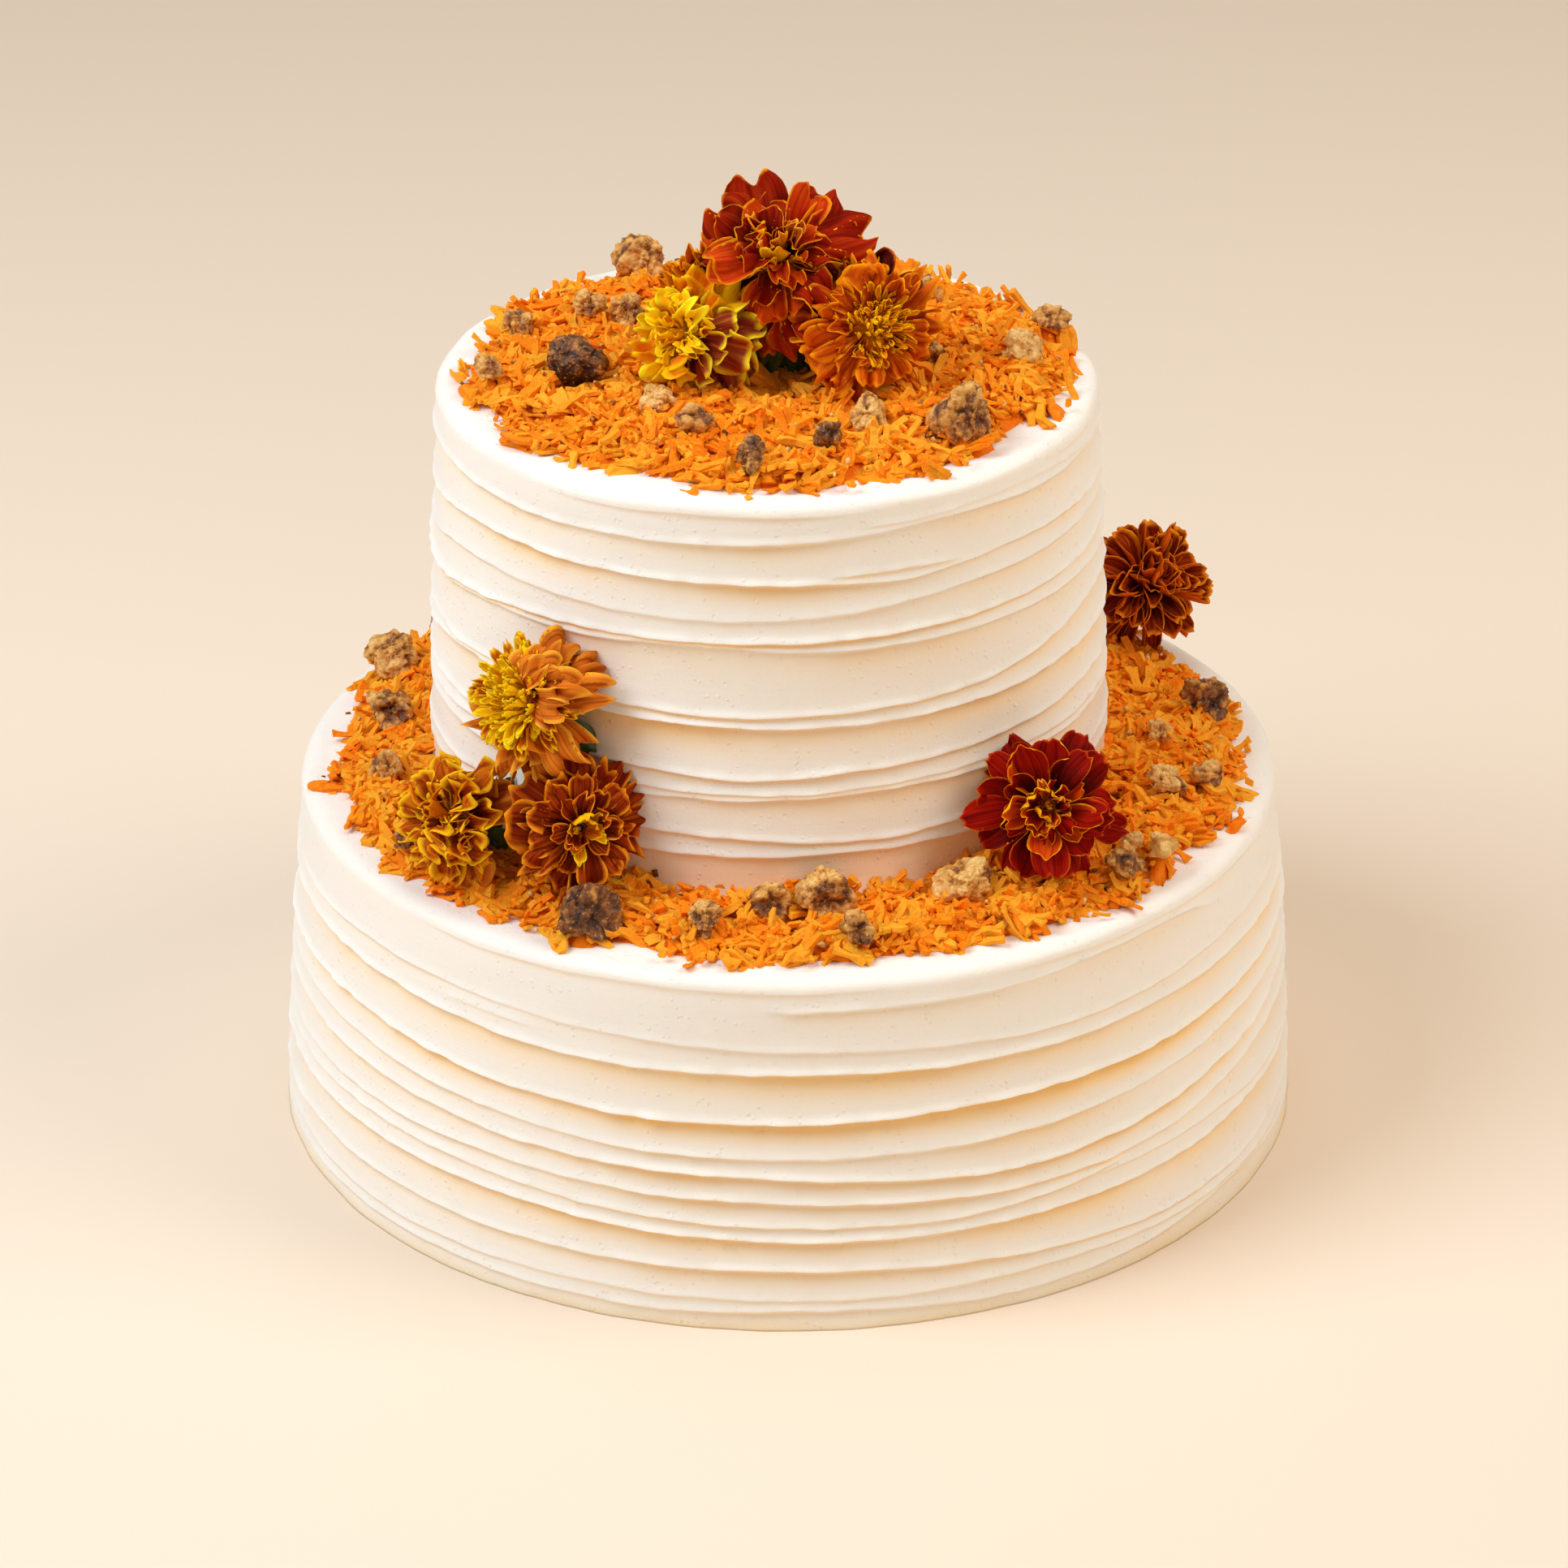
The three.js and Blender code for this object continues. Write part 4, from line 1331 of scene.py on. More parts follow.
def walnut_finish(settings):
    """Toasted walnut: cream, golden or brown flesh by its tone, with dark and pale specks of sugar, darker
    in the folds from its brown skin and in the hollows and between the knobs from painted shade.
    """
    f = Finish("candied_walnut")
    at = f.place()
    patches = f.noise(at, 2.4, 3, 0.65)
    specks = f.noise(at, 1.5, 3, 0.7)
    grain = f.noise(f.vector("ADD", at, (17, 5, 29)), 0.7, 2, 0.7)
    # Darker in the folds, hollows and between the knobs: the brown skin in the folds, and painted shade in
    # the hollows and between the knobs.
    tone = f.attribute("tone") + (patches - 0.5) * 1.5 + f.attribute("fold") * 0.42
    colours = (settings.cream, settings.tan, settings.brown, settings.dark)
    stops = list(zip((0.0, 0.4, 0.66, 1.0), map(tuple, colours)))
    flesh = f.node("ShaderNodeValToRGB", {"stops": stops}, {"Fac": tone.clamped()})
    dark = (0.42 - specks).ramped(0.0, 0.12) * (0.3 + f.attribute("tone") * 0.6)
    colour = f.mixed(dark, flesh, tuple(settings.dark))
    sugar = (grain + f.attribute("crust") * 0.2).ramped(0.64, 0.8) * 0.5
    colour = f.mixed(sugar, colour, tuple(settings.sugar))
    return f.finish(
        Base_Color=colour,
        Roughness=0.32 + grain * 0.4,
        Normal=f.bump(grain + specks, 0.8, 0.35),
        Specular_IOR_Level=0.4,
        Subsurface_Weight=0.08,
        Subsurface_Radius=(1.0, 0.6, 0.3),
        Subsurface_Scale=0.8 * MM,
    )


def crumb_mesh(seed, tone):
    """A crumb of walnut or of its sugar crust."""
    points, faces = bit_mesh(seed)
    return new_mesh(f"crumb_{seed}", points, faces, attributes={"tone": np.full(len(points), tone)})


class CAKE_OT_walnuts(bpy.types.Operator):
    """Make the candied walnut pieces and strew their crumbs"""

    bl_idname = "cake.walnuts"
    bl_label = "Candied Walnuts"

    def execute(self, context):
        settings = context.scene.cake_walnuts
        material = walnut_finish(settings)
        for index, node in enumerate(toppings("walnut_")):
            piece = object_of(walnut_mesh(node, index, settings, material))
            as_piece(piece, "candied_walnut", node)
        tree = strewn_tree()
        crumbs = template_set("crumbs", [crumb_mesh(120 + k, tone) for k, tone in enumerate(CRUMB_TONES)])
        values = strewn_values(CRUMBS, crumbs, material, settings.crumbs, CRUMB_SEED)
        for heap in HEAPS:
            strewn = tree.grown(f"walnut_crumbs_{heap.name}", bed_mesh(heap, material), values)
            as_piece(strewn, "candied_walnut")
        cleared(crumbs)
        return {"FINISHED"}


# ---- Marigolds ----

# A petal's shape, with lengths as shares of its own length: width, width of its claw as a share of that,
# where it is widest, depth and number of the notches in its tip, height of its ruffles, how far its sides
# curl up (half-angle in degrees), how far it bends along its length and how far its tip then rolls on, in
# degrees, its points across and along, how much of the curl is lost towards the tip, and where the roll
# begins.
Petal = namedtuple(
    "Petal",
    "width claw widest notch notches ruffle curl bend roll across along flare late",
    defaults=(0.75, 0.4),
)
OVAL = Petal(0.46, 0.16, 0.72, 0.05, 1, 0.05, -26, -12, -24, 11, 12)
BROAD = Petal(0.64, 0.14, 0.76, 0.06, 1, 0.1, -26, -12, -28, 15, 12)
LOBED = Petal(0.74, 0.12, 0.78, 0.1, 1, 0.12, -24, -18, -30, 17, 12)
CUPPED = Petal(0.58, 0.2, 0.68, 0.03, 1, 0.06, 60, 14, 16, 11, 10)
RUFFLED = Petal(0.62, 0.16, 0.8, 0.07, 2, 0.2, 34, -14, -26, 15, 10)
FRILLED = Petal(0.58, 0.18, 0.8, 0.08, 2, 0.24, 50, -8, -30, 15, 10)
FOLDED = Petal(0.6, 0.16, 0.76, 0.06, 1, 0.12, 86, -6, -26, 13, 10)
CURLED = Petal(0.46, 0.3, 0.74, 0.05, 1, 0.14, -30, -10, -150, 11, 18, 0.8, 0.56)
STRAP = Petal(0.36, 0.4, 0.76, 0.08, 1, 0.1, -34, -30, -40, 11, 11)
NARROW = Petal(0.4, 0.24, 0.74, 0.08, 1, 0.08, 74, 6, 0, 9, 7)
NEEDLE = Petal(0.24, 0.4, 0.72, 0.1, 1, 0.05, 90, 8, 10, 7, 7)
ROLLED = Petal(0.56, 0.42, 0.74, 0.05, 1, 0.05, 130, 6, -16, 11, 8, 0.3)
FLORET = Petal(0.3, 0.5, 0.7, 0.16, 1, 0.05, 120, 0, 0, 5, 4)

# A whorl of petals: their angles in degrees from the top and counter-clockwise, or how many there are all
# round; the first and last petal's length, tilt over the head's plane in degrees and height over that plane;
# its colours; how loosely it is set; and the first and last petal's distance from the head's axis. Lengths,
# heights and distances are shares of the head's radius.
Whorl = namedtuple(
    "Whorl", "petal angles lengths tilts heights colours loose reaches", defaults=((0.05, 0.06),)
)
HEAD_KINDS = {
    "tall": (
        # Dark green sepals hang back round the tail; this skirt also fills the gap under the head with dark,
        # as painted shade.
        Whorl(STRAP, 14, (0.95, 0.8), (-50, -66), (-0.5, -0.56), "green", 1.4, (0.14, 0.2)),
        Whorl(
            OVAL, (146, 160, 172, 184, 196, 210),
            (1.05, 0.95), (-22, -38), (-0.42, -0.5), "green", 1.2, (0.1, 0.14),
        ),
        Whorl(BROAD, (-78, 108, 202, -104, 88), (0.98, 0.84), (-14, -6), (-0.18, -0.14), "ember", 1.0),
        Whorl(LOBED, (150, 178, 206, -132), (0.98, 0.9), (-34, -24), (-0.16, -0.12), "scarlet", 1.0),
        Whorl(LOBED, (12, 46), (0.96, 0.86), (16, 20), (-0.12, -0.1), "ember", 0.3),
        Whorl(BROAD, (-8, -34, -58, 70), (0.92, 0.88), (10, 22), (-0.1, -0.06), "ember", 1.2),
        Whorl(LOBED, (-70,), (1.04, 1.04), (26, 26), (-0.04, -0.04), "ember", 0.2, (0.05, 0.05)),
        Whorl(FOLDED, (-45, 62, 92, -28, 54, 120), (0.86, 0.74), (24, 40), (-0.08, 0.0), "scarlet", 1.6),
        Whorl(
            RUFFLED, (24, -140, 134, -8, 165, 76, -100),
            (0.72, 0.6), (30, 48), (-0.02, 0.02), "ember", 2.0,
        ),
        Whorl(LOBED, (190, 152, -165), (0.66, 0.56), (0, 24), (-0.02, 0.04), "scarlet", 1.6, (0.06, 0.08)),
        Whorl(
            CUPPED, (100, -92, 50, 178, -55, 8, -150),
            (0.54, 0.42), (44, 68), (0.0, 0.06), "ember", 2.0, (0.05, 0.08),
        ),
        Whorl(FOLDED, 9, (0.46, 0.36), (50, 76), (0.02, 0.06), "scarlet", 2.2, (0.08, 0.06)),
        Whorl(NARROW, 14, (0.4, 0.32), (50, 86), (0.04, 0.12), "tawny", 2.4, (0.14, 0.02)),
    ),
    "velvet": (
        Whorl(
            OVAL, (1, 21, 42, 83, 110, 150, 184, 210, 241, 275, 295, 326),
            (1.0, 0.98), (-8, 6), (-0.14, -0.1), "crimson", 1.6,
        ),
        Whorl(OVAL, (12, 96, 168, 225, 262, 310), (0.84, 0.78), (8, 26), (-0.08, 0.0), "crimson", 2.0),
        Whorl(CUPPED, 11, (0.86, 0.72), (14, 36), (-0.06, 0.02), "crimson", 2.2, (0.05, 0.07)),
        Whorl(
            CUPPED, (6, 32, 81, 119, 148, 180, 218, 251, 288),
            (0.7, 0.58), (20, 36), (-0.02, 0.04), "scarlet", 1.5, (0.05, 0.07),
        ),
        Whorl(
            CUPPED, (60, 135, 208, 318, 20),
            (0.52, 0.44), (40, 58), (0.02, 0.06), "scarlet", 2.0, (0.05, 0.08),
        ),
        Whorl(FOLDED, 9, (0.4, 0.32), (44, 70), (0.02, 0.06), "crimson", 2.4, (0.1, 0.08)),
        Whorl(NARROW, 15, (0.32, 0.24), (50, 88), (0.04, 0.1), "tawny", 2.4, (0.14, 0.01)),
    ),
    "orange": (
        Whorl(STRAP, 9, (0.7, 0.6), (-40, -60), (-0.4, -0.46), "green", 1.4, (0.14, 0.2)),
        Whorl(BROAD, (72, 96, 120, 146, 170), (1.0, 0.94), (-16, -6), (-0.16, -0.1), "ember", 1.0),
        Whorl(LOBED, (-10, -36), (1.08, 1.0), (16, 10), (-0.14, -0.1), "maroon", 0.8),
        Whorl(RUFFLED, 13, (0.98, 0.88), (-14, 4), (-0.1, -0.02), "rust", 1.8, (0.06, 0.08)),
        Whorl(FRILLED, 14, (0.8, 0.7), (8, 24), (-0.02, 0.02), "rust", 2.0, (0.14, 0.16)),
        Whorl(FRILLED, 14, (0.52, 0.46), (22, 42), (0.0, 0.06), "rust", 2.0, (0.28, 0.32)),
        Whorl(NARROW, 24, (0.3, 0.24), (30, 70), (0.02, 0.08), "tipped", 2.0, (0.34, 0.1)),
        Whorl(FLORET, 190, (0.15, 0.11), (50, 89), (0.14, 0.25), "amber", 2.0, (0.43, 0.01)),
    ),
    "gold": (
        Whorl(
            LOBED, (-52, -78, -104, -130, -156, 178),
            (1.1, 1.0), (-12, -24), (-0.18, -0.12), "flushed", 1.4,
        ),
        Whorl(BROAD, (-62, -90, -118, -146), (0.94, 0.86), (8, 16), (-0.1, -0.02), "flushed", 1.6),
        Whorl(
            FRILLED, range(-30, 151, 18),
            (0.94, 0.84), (-16, 8), (-0.1, 0.0), "yellow", 2.0, (0.06, 0.08),
        ),
        Whorl(
            FRILLED, (-24, 2, 28, 54, 80, 106, 132, 158, -72, -112),
            (0.78, 0.7), (8, 30), (-0.02, 0.06), "amber", 2.2, (0.08, 0.1),
        ),
        Whorl(FRILLED, 14, (0.68, 0.58), (24, 50), (0.04, 0.12), "yellow", 2.2, (0.12, 0.14)),
        Whorl(FOLDED, 14, (0.5, 0.42), (44, 70), (0.1, 0.18), "yellow", 2.4, (0.2, 0.1)),
        Whorl(NARROW, 16, (0.4, 0.3), (60, 88), (0.16, 0.24), "amber", 2.4, (0.14, 0.01)),
    ),
    "sunny": (
        Whorl(STRAP, (146, 164, -176, -158), (1.15, 1.4), (-18, -22), (-0.16, -0.12), "tawny", 0.8),
        Whorl(OVAL, (-108, -124, -140), (0.95, 0.85), (-30, -40), (-0.3, -0.34), "green", 0.6, (0.1, 0.12)),
        Whorl(CURLED, (-12, -34, -56, -78, -102, -124), (1.14, 1.2), (6, -6), (-0.16, -0.1), "tawny", 1.4),
        Whorl(CURLED, (-2, -24, -46, -70, -94), (1.04, 1.0), (28, 18), (-0.06, 0.0), "tawny", 1.6),
        Whorl(CURLED, (-16, -42, -68, -90), (0.92, 0.84), (48, 40), (0.0, 0.04), "tawny", 1.8),
        Whorl(
            FRILLED, (124, 142, 158, 174, 190, 206),
            (0.86, 0.8), (-16, 0), (-0.1, 0.0), "tawny", 1.8, (0.06, 0.08),
        ),
        Whorl(NEEDLE, 30, (0.74, 0.66), (-8, 10), (-0.06, 0.04), "tipped", 1.6, (0.1, 0.12)),
        Whorl(NEEDLE, 44, (0.56, 0.48), (8, 36), (0.0, 0.06), "yellow", 2.0, (0.16, 0.22)),
        Whorl(NEEDLE, 160, (0.32, 0.26), (30, 89), (0.02, 0.26), "yellow", 2.0, (0.48, 0.01)),
    ),
    "striped": (
        Whorl(STRAP, 9, (0.8, 0.7), (-40, -60), (-0.4, -0.46), "green", 1.4, (0.14, 0.2)),
        Whorl(LOBED, (-172, 168, -142, -58), (1.06, 0.98), (-22, -6), (-0.14, -0.1), "tawny", 1.0),
        Whorl(FOLDED, 12, (1.02, 0.92), (-10, 4), (-0.1, -0.06), "tipped", 1.8),
        Whorl(
            FRILLED, (-30, -90, -120, -150, 180, 140),
            (0.86, 0.8), (4, 16), (-0.06, 0.0), "tipped", 1.8, (0.05, 0.07),
        ),
        Whorl(FOLDED, 12, (0.86, 0.76), (16, 34), (-0.04, 0.02), "tipped", 1.8, (0.05, 0.07)),
        Whorl(FRILLED, 9, (0.7, 0.62), (36, 56), (0.0, 0.06), "tipped", 1.8, (0.06, 0.08)),
        Whorl(NARROW, 12, (0.54, 0.44), (54, 84), (0.04, 0.1), "tipped", 1.8, (0.1, 0.02)),
    ),
    "brown": (
        Whorl(STRAP, 9, (0.8, 0.7), (-40, -60), (-0.4, -0.46), "green", 1.4, (0.14, 0.2)),
        Whorl(BROAD, (52, 80, 4), (1.06, 0.98), (6, 6), (-0.12, -0.1), "mahogany", 0.8),
        Whorl(STRAP, (-40, -62, -90), (1.16, 1.08), (10, 0), (-0.12, -0.1), "mahogany", 0.8),
        Whorl(
            FRILLED, (24, 104, 130, 156, 184, 208, 236, -24),
            (1.0, 0.92), (-14, -4), (-0.14, -0.1), "mahogany", 1.5,
        ),
        Whorl(FRILLED, 11, (0.86, 0.76), (6, 22), (-0.06, 0.0), "mahogany", 1.8, (0.05, 0.07)),
        Whorl(FOLDED, 10, (0.74, 0.64), (18, 36), (-0.02, 0.04), "mahogany", 1.8, (0.06, 0.08)),
        Whorl(CUPPED, 9, (0.6, 0.52), (34, 52), (0.0, 0.06), "mahogany", 1.8, (0.06, 0.08)),
        Whorl(CUPPED, 5, (0.46, 0.4), (46, 62), (0.02, 0.08), "amber", 1.5, (0.06, 0.1)),
        Whorl(NARROW, 9, (0.36, 0.3), (52, 86), (0.04, 0.12), "yellow", 1.8, (0.14, 0.01)),
    ),
    "pompom": (
        Whorl(ROLLED, 14, (0.96, 0.92), (-24, -8), (-0.16, -0.1), "mahogany", 1.6),
        Whorl(ROLLED, 16, (0.94, 0.9), (0, 16), (-0.1, 0.0), "mahogany", 1.6, (0.06, 0.08)),
        Whorl(ROLLED, 16, (0.9, 0.84), (20, 38), (-0.04, 0.04), "mahogany", 1.6, (0.06, 0.08)),
        Whorl(ROLLED, 14, (0.84, 0.8), (42, 60), (0.0, 0.06), "mahogany", 1.6, (0.06, 0.08)),
        Whorl(ROLLED, 11, (0.8, 0.74), (62, 88), (0.02, 0.08), "mahogany", 1.6, (0.1, 0.02)),
    ),
}

# A head: its CAD node and kind, the middle of its ring of petals, the azimuth and elevation that it looks
# to, its radius, how far its cup and stem reach back, and the angle at which its evenly spaced whorls begin.
Head = namedtuple("Head", "node kind at azimuth elevation radius tail turn")
HEADS = (
    Head("marigold_top_red", "tall", (-1.5, -12, 214), 0, 48, 21.0, 21, 10),
    Head("marigold_top_orange", "orange", (19.4, -22.9, 202.1), 24, 28, 16.5, 10, 0),
    Head("marigold_top_gold", "gold", (-21.8, -18.3, 199.0), -50, 22, 14.8, 10, 20),
    Head("marigold_top_back", "orange", (-18, 9, 202), -150, 50, 13.5, 12, 40),
    Head("marigold_side_gold", "sunny", (-58, -70.5, 133.5), -38, 34, 16.5, 6, 0),
    Head("marigold_side_left", "striped", (-75, -67, 102), -49, 17, 15.5, 9, 15),
    Head("marigold_side_front", "brown", (-46, -80, 106), 6, 25, 16.0, 7, 0),
    Head("marigold_right", "velvet", (57.4, -71, 106.5), 10, 30, 18.0, 9, 30),
    Head("marigold_back_right", "pompom", (86, 54, 104), 30, 45, 16.0, 9, 0),
    Head("marigold_back", "orange", (-24, 93, 106), 195, 38, 16.0, 9, 0),
)
HEAD_SLOTS = {
    "tall": "marigold_red",
    "velvet": "marigold_red",
    "orange": "marigold_orange",
    "gold": "marigold_gold",
    "sunny": "marigold_gold",
    "striped": "marigold_gold",
    "brown": "marigold_brown",
    "pompom": "marigold_brown",
}
PETAL_VARIANTS = 5
ROUND_END = 1.04  # where a petal's rounded end would close to a point, as a share of its length
RUFFLED_FROM = 0.1  # petals with higher ruffles than this may curl the other way
TURNED_SHARE = 0.4  # share of them that do
TURNED_CURL = -0.6
LARGEST_RING = 60  # more petals than this fill a disc, as florets do
GOLDEN_STEP = 137.508  # degrees between a floret of a disc and the next
WHORL_STEP = 23.0  # degrees that a whorl starts on from the one outside it
ANGLE_STRAY = 6.0  # how far petals stray either way, in degrees, in a whorl with a looseness of 1
TILT_STRAY = 12.0
ROLL_STRAY = 14.0
LENGTH_STRAY = 0.07
CALYX_DEPTH = 9.0
CALYX_RADIUS = 4.6
CALYX_COLUMNS = 24
CALYX_RIBS = 8


def petal_outline(petal, u, v, random):
    """Half of a petal's width at each point, and how far along its length the point lies."""
    scallops = np.cos(random.uniform(2, 3.2) * math.pi * u + random.uniform(0, math.tau))
    tip = 1 - 0.06 * u**2 + 0.015 * scallops
    for k in range(petal.notches):
        middle = 0.7 * (k + 0.5 - petal.notches / 2) + random.uniform(-0.15, 0.15)
        tip -= petal.notch * random.uniform(0.3, 1.3) * np.exp(-(((u - middle) / 0.22) ** 2))
    opening = np.sin(np.clip(v / petal.widest, 0, 1) * math.pi / 2) ** 1.4
    closing = np.clip((v - petal.widest) / (ROUND_END - petal.widest), 0, 1)
    half = petal.width / 2 * (petal.claw + (1 - petal.claw) * opening) * (1 - closing**2.4) ** 0.45
    return half * random.uniform(0.85, 1.15), v * (1 - (1 - tip) * v**2)


def petal_mesh(petal, thickness, seed):
    """Points, faces and places (across, along, side) of a petal of length 1 that grows along +Y, face up."""
    random = np.random.default_rng(seed)
    u, v = np.meshgrid(np.linspace(-1, 1, petal.across), 1 - np.linspace(1, 0, petal.along) ** 1.35)
    half, along = petal_outline(petal, u, v, random)
    curl = math.radians(petal.curl) * random.uniform(0.6, 1.3) * (1 - petal.flare * v)
    if petal.ruffle > RUFFLED_FROM and random.uniform() < TURNED_SHARE:
        curl *= TURNED_CURL
    section_x = half * np.sin(curl * u) / curl
    section_z = half * (1 - np.cos(curl * u)) / curl
    margin = np.maximum(np.abs(u), v) ** 3 * smoothstep(v, 0.15, 0.6)
    round_margin = np.arctan2(u, 2 * v - 0.9)
    waves = np.sin(random.uniform(4, 6.5) * round_margin + random.uniform(0, math.tau))
    ruffle = petal.ruffle * margin * waves
    ruffle += 0.5 * petal.ruffle * v * np.sin(random.uniform(4, 7) * v + random.uniform(0, math.tau))
    fine = np.linspace(0, 1.1, 56)
    lean = math.radians(petal.bend + random.uniform(-20, 20)) * fine**1.5
    lean += math.radians(petal.roll * random.uniform(0.6, 1.2)) * smoothstep(fine, petal.late, 1.05)
    path_y = np.concatenate([[0], np.cumsum(np.cos(lean[:-1]) * np.diff(fine))])
    path_z = np.concatenate([[0], np.cumsum(np.sin(lean[:-1]) * np.diff(fine))])
    here = np.interp(along, fine, lean)
    rise = section_z + ruffle
    x = section_x * (1 + 0.12 * random.uniform(-1, 1) * u) + 0.08 * random.uniform(-1, 1) * v**2
    y = np.interp(along, fine, path_y) - np.sin(here) * rise
    z = np.interp(along, fine, path_z) + np.cos(here) * rise
    face = np.stack([x, y, z], axis=-1)
    down, right = np.gradient(face, axis=0), np.gradient(face, axis=1)
    normal = np.cross(right, down)
    normal /= np.linalg.norm(normal, axis=-1, keepdims=True) + 1e-9
    thin = thickness * (1 - 0.55 * np.maximum(np.abs(u), v) ** 4)
    back = face - normal * thin[..., None]
    places = np.concatenate([np.stack([u, v, np.full_like(u, k)], axis=-1).reshape(-1, 3) for k in (0, 1)])
    points = np.concatenate([face.reshape(-1, 3), back.reshape(-1, 3)])
    return points, shell_faces(petal.along, petal.across), places


def shell_faces(rows, across):
    """Quads of a thin closed shell: its face, its back and the rim between them."""
    count = rows * across
    faces = []
    for row in range(rows - 1):
        for i in range(across - 1):
            a, b = row * across + i, row * across + i + 1
            faces.append((a, b, b + across, a + across))
            faces.append((count + b, count + a, count + a + across, count + b + across))
    rim = list(range(across))
    rim += [row * across + across - 1 for row in range(1, rows)]
    rim += [(rows - 1) * across + i for i in range(across - 2, -1, -1)]
    rim += [row * across for row in range(rows - 2, 0, -1)]
    for a, b in zip(rim, [*rim[1:], rim[0]]):
        faces.append((b, a, count + a, count + b))
    return faces


def petal_set(petal, thickness, seed):
    """A collection of petals of one shape, each a little different."""
    meshes = []
    for k in range(PETAL_VARIANTS):
        points, faces, places = petal_mesh(petal, thickness, seed * 10 + k)
        meshes.append(new_mesh(f"petals_{seed}_{k}", points / MM, faces, attributes={"petal": places}))
    return template_set(f"petals_{seed}", meshes)


def seat_mesh(head, index, whorl, seed):
    """A point for each petal of a whorl, round the head's own Z axis, with its turn, size and shade."""
    random = np.random.default_rng(seed)
    if isinstance(whorl.angles, int):
        step = GOLDEN_STEP if whorl.angles > LARGEST_RING else FULL_CIRCLE / whorl.angles
        angles = head.turn + WHORL_STEP * index + step * np.arange(whorl.angles)
    else:
        angles = np.array(whorl.angles, float)
    count = len(angles)
    part = np.arange(count) / max(count - 1, 1)

    def strayed(spread):
        return spread * whorl.loose * random.uniform(-1, 1, count)

    def between(pair, spread=0.0):
        return pair[0] + (pair[1] - pair[0]) * part + strayed(spread)

    angles = np.radians(angles + strayed(ANGLE_STRAY))
    reach = between(whorl.reaches) * head.radius
    heights = between(whorl.heights) * head.radius
    places = points_at(-reach * np.sin(angles), reach * np.cos(angles), heights)
    tilts = np.radians(between(whorl.tilts, TILT_STRAY))
    rolls = np.radians(strayed(ROLL_STRAY))
    attributes = {
        "turn": np.stack([tilts, rolls, angles], axis=-1),
        "size": between(whorl.lengths, LENGTH_STRAY) * head.radius * MM,
        "shade": random.uniform(0, 1, count),
    }
    return new_mesh(f"{head.node}_seats_{index}", places, [], attributes=attributes)


def seated_tree():
    """Puts a petal on each point, turned and sized as the point's attributes say."""
    g = Growth("seated_petals", {"Petals": bpy.types.Collection, "Material": bpy.types.Material})
    size = g.field("size", "FLOAT")
    turn = g.node("FunctionNodeEulerToRotation", None, {0: g.field("turn", "FLOAT_VECTOR")})
    petals = g.picked(g.given["Petals"])
    return g.ended(g.placed(g.given["Geometry"], petals, turn, g.combined(size, size, size)))


def whorl_of(head, index, whorl, tree, materials, settings):
    """One whorl of a head, round the head's own Z axis."""
    seed = 100 * HEADS.index(head) + 10 * index + 1
    petals = petal_set(whorl.petal, settings.thickness / (head.radius * MM * whorl.lengths[0]), seed)
    values = {"Petals": petals, "Material": materials[whorl.colours]}
    made = tree.grown(f"{head.node}_whorl_{index}", seat_mesh(head, index, whorl, seed), values)
    cleared(petals)
    return made


def calyx_mesh(head, material):
    """The ribbed green cup behind the petals, with a stub of stem."""
    top = -0.3 * head.radius
    depth = min(CALYX_DEPTH, head.tail + 1.5)
    profile = [
        (-head.tail + top, 0.9),
        (top - depth - 0.4, 1.5),
        (top - depth, 2.4),
        (top - 0.7 * depth, 3.9),
        (top - 0.3 * depth, CALYX_RADIUS),
        (top, CALYX_RADIUS * 0.96),
        (top + 0.12 * head.radius, CALYX_RADIUS * 0.86),
    ]
    profile.sort()
    turns = round_azimuths(CALYX_COLUMNS)
    ribs = 1 + 0.07 * np.cos(np.radians(turns * CALYX_RIBS))
    rings = []
    for height, radius in profile:
        x, y = polar(turns, radius * (ribs if radius > 2 else 1.0))
        rings.append(points_at(x, y, height))
    points, faces = closed_rings(np.array(rings), foot=(0, 0, profile[0][0]), top=(0, 0, profile[-1][0]))
    return new_mesh(head.node + "_calyx", points, faces, material)


def head_matrix(head):
    """Turns a head's own Z axis to the way its face looks, and moves it to its place."""
    facing = direction(head.azimuth, head.elevation)
    right = Vector((0, 0, 1)).cross(facing).normalized()
    turn = Matrix((right, facing.cross(right), facing)).transposed()
    return Matrix.Translation(Vector(head.at) * MM) @ turn.to_4x4()


def marigold(head, tree, materials, settings):
    """A whole head as one piece."""
    whorls = enumerate(HEAD_KINDS[head.kind])
    items = [whorl_of(head, i, whorl, tree, materials, settings) for i, whorl in whorls]
    items.append(object_of(calyx_mesh(head, materials["green"])))
    piece = joined(head.node + "_petals", items)
    piece.data.transform(head_matrix(head))
    as_piece(piece, HEAD_SLOTS[head.kind], head.node)


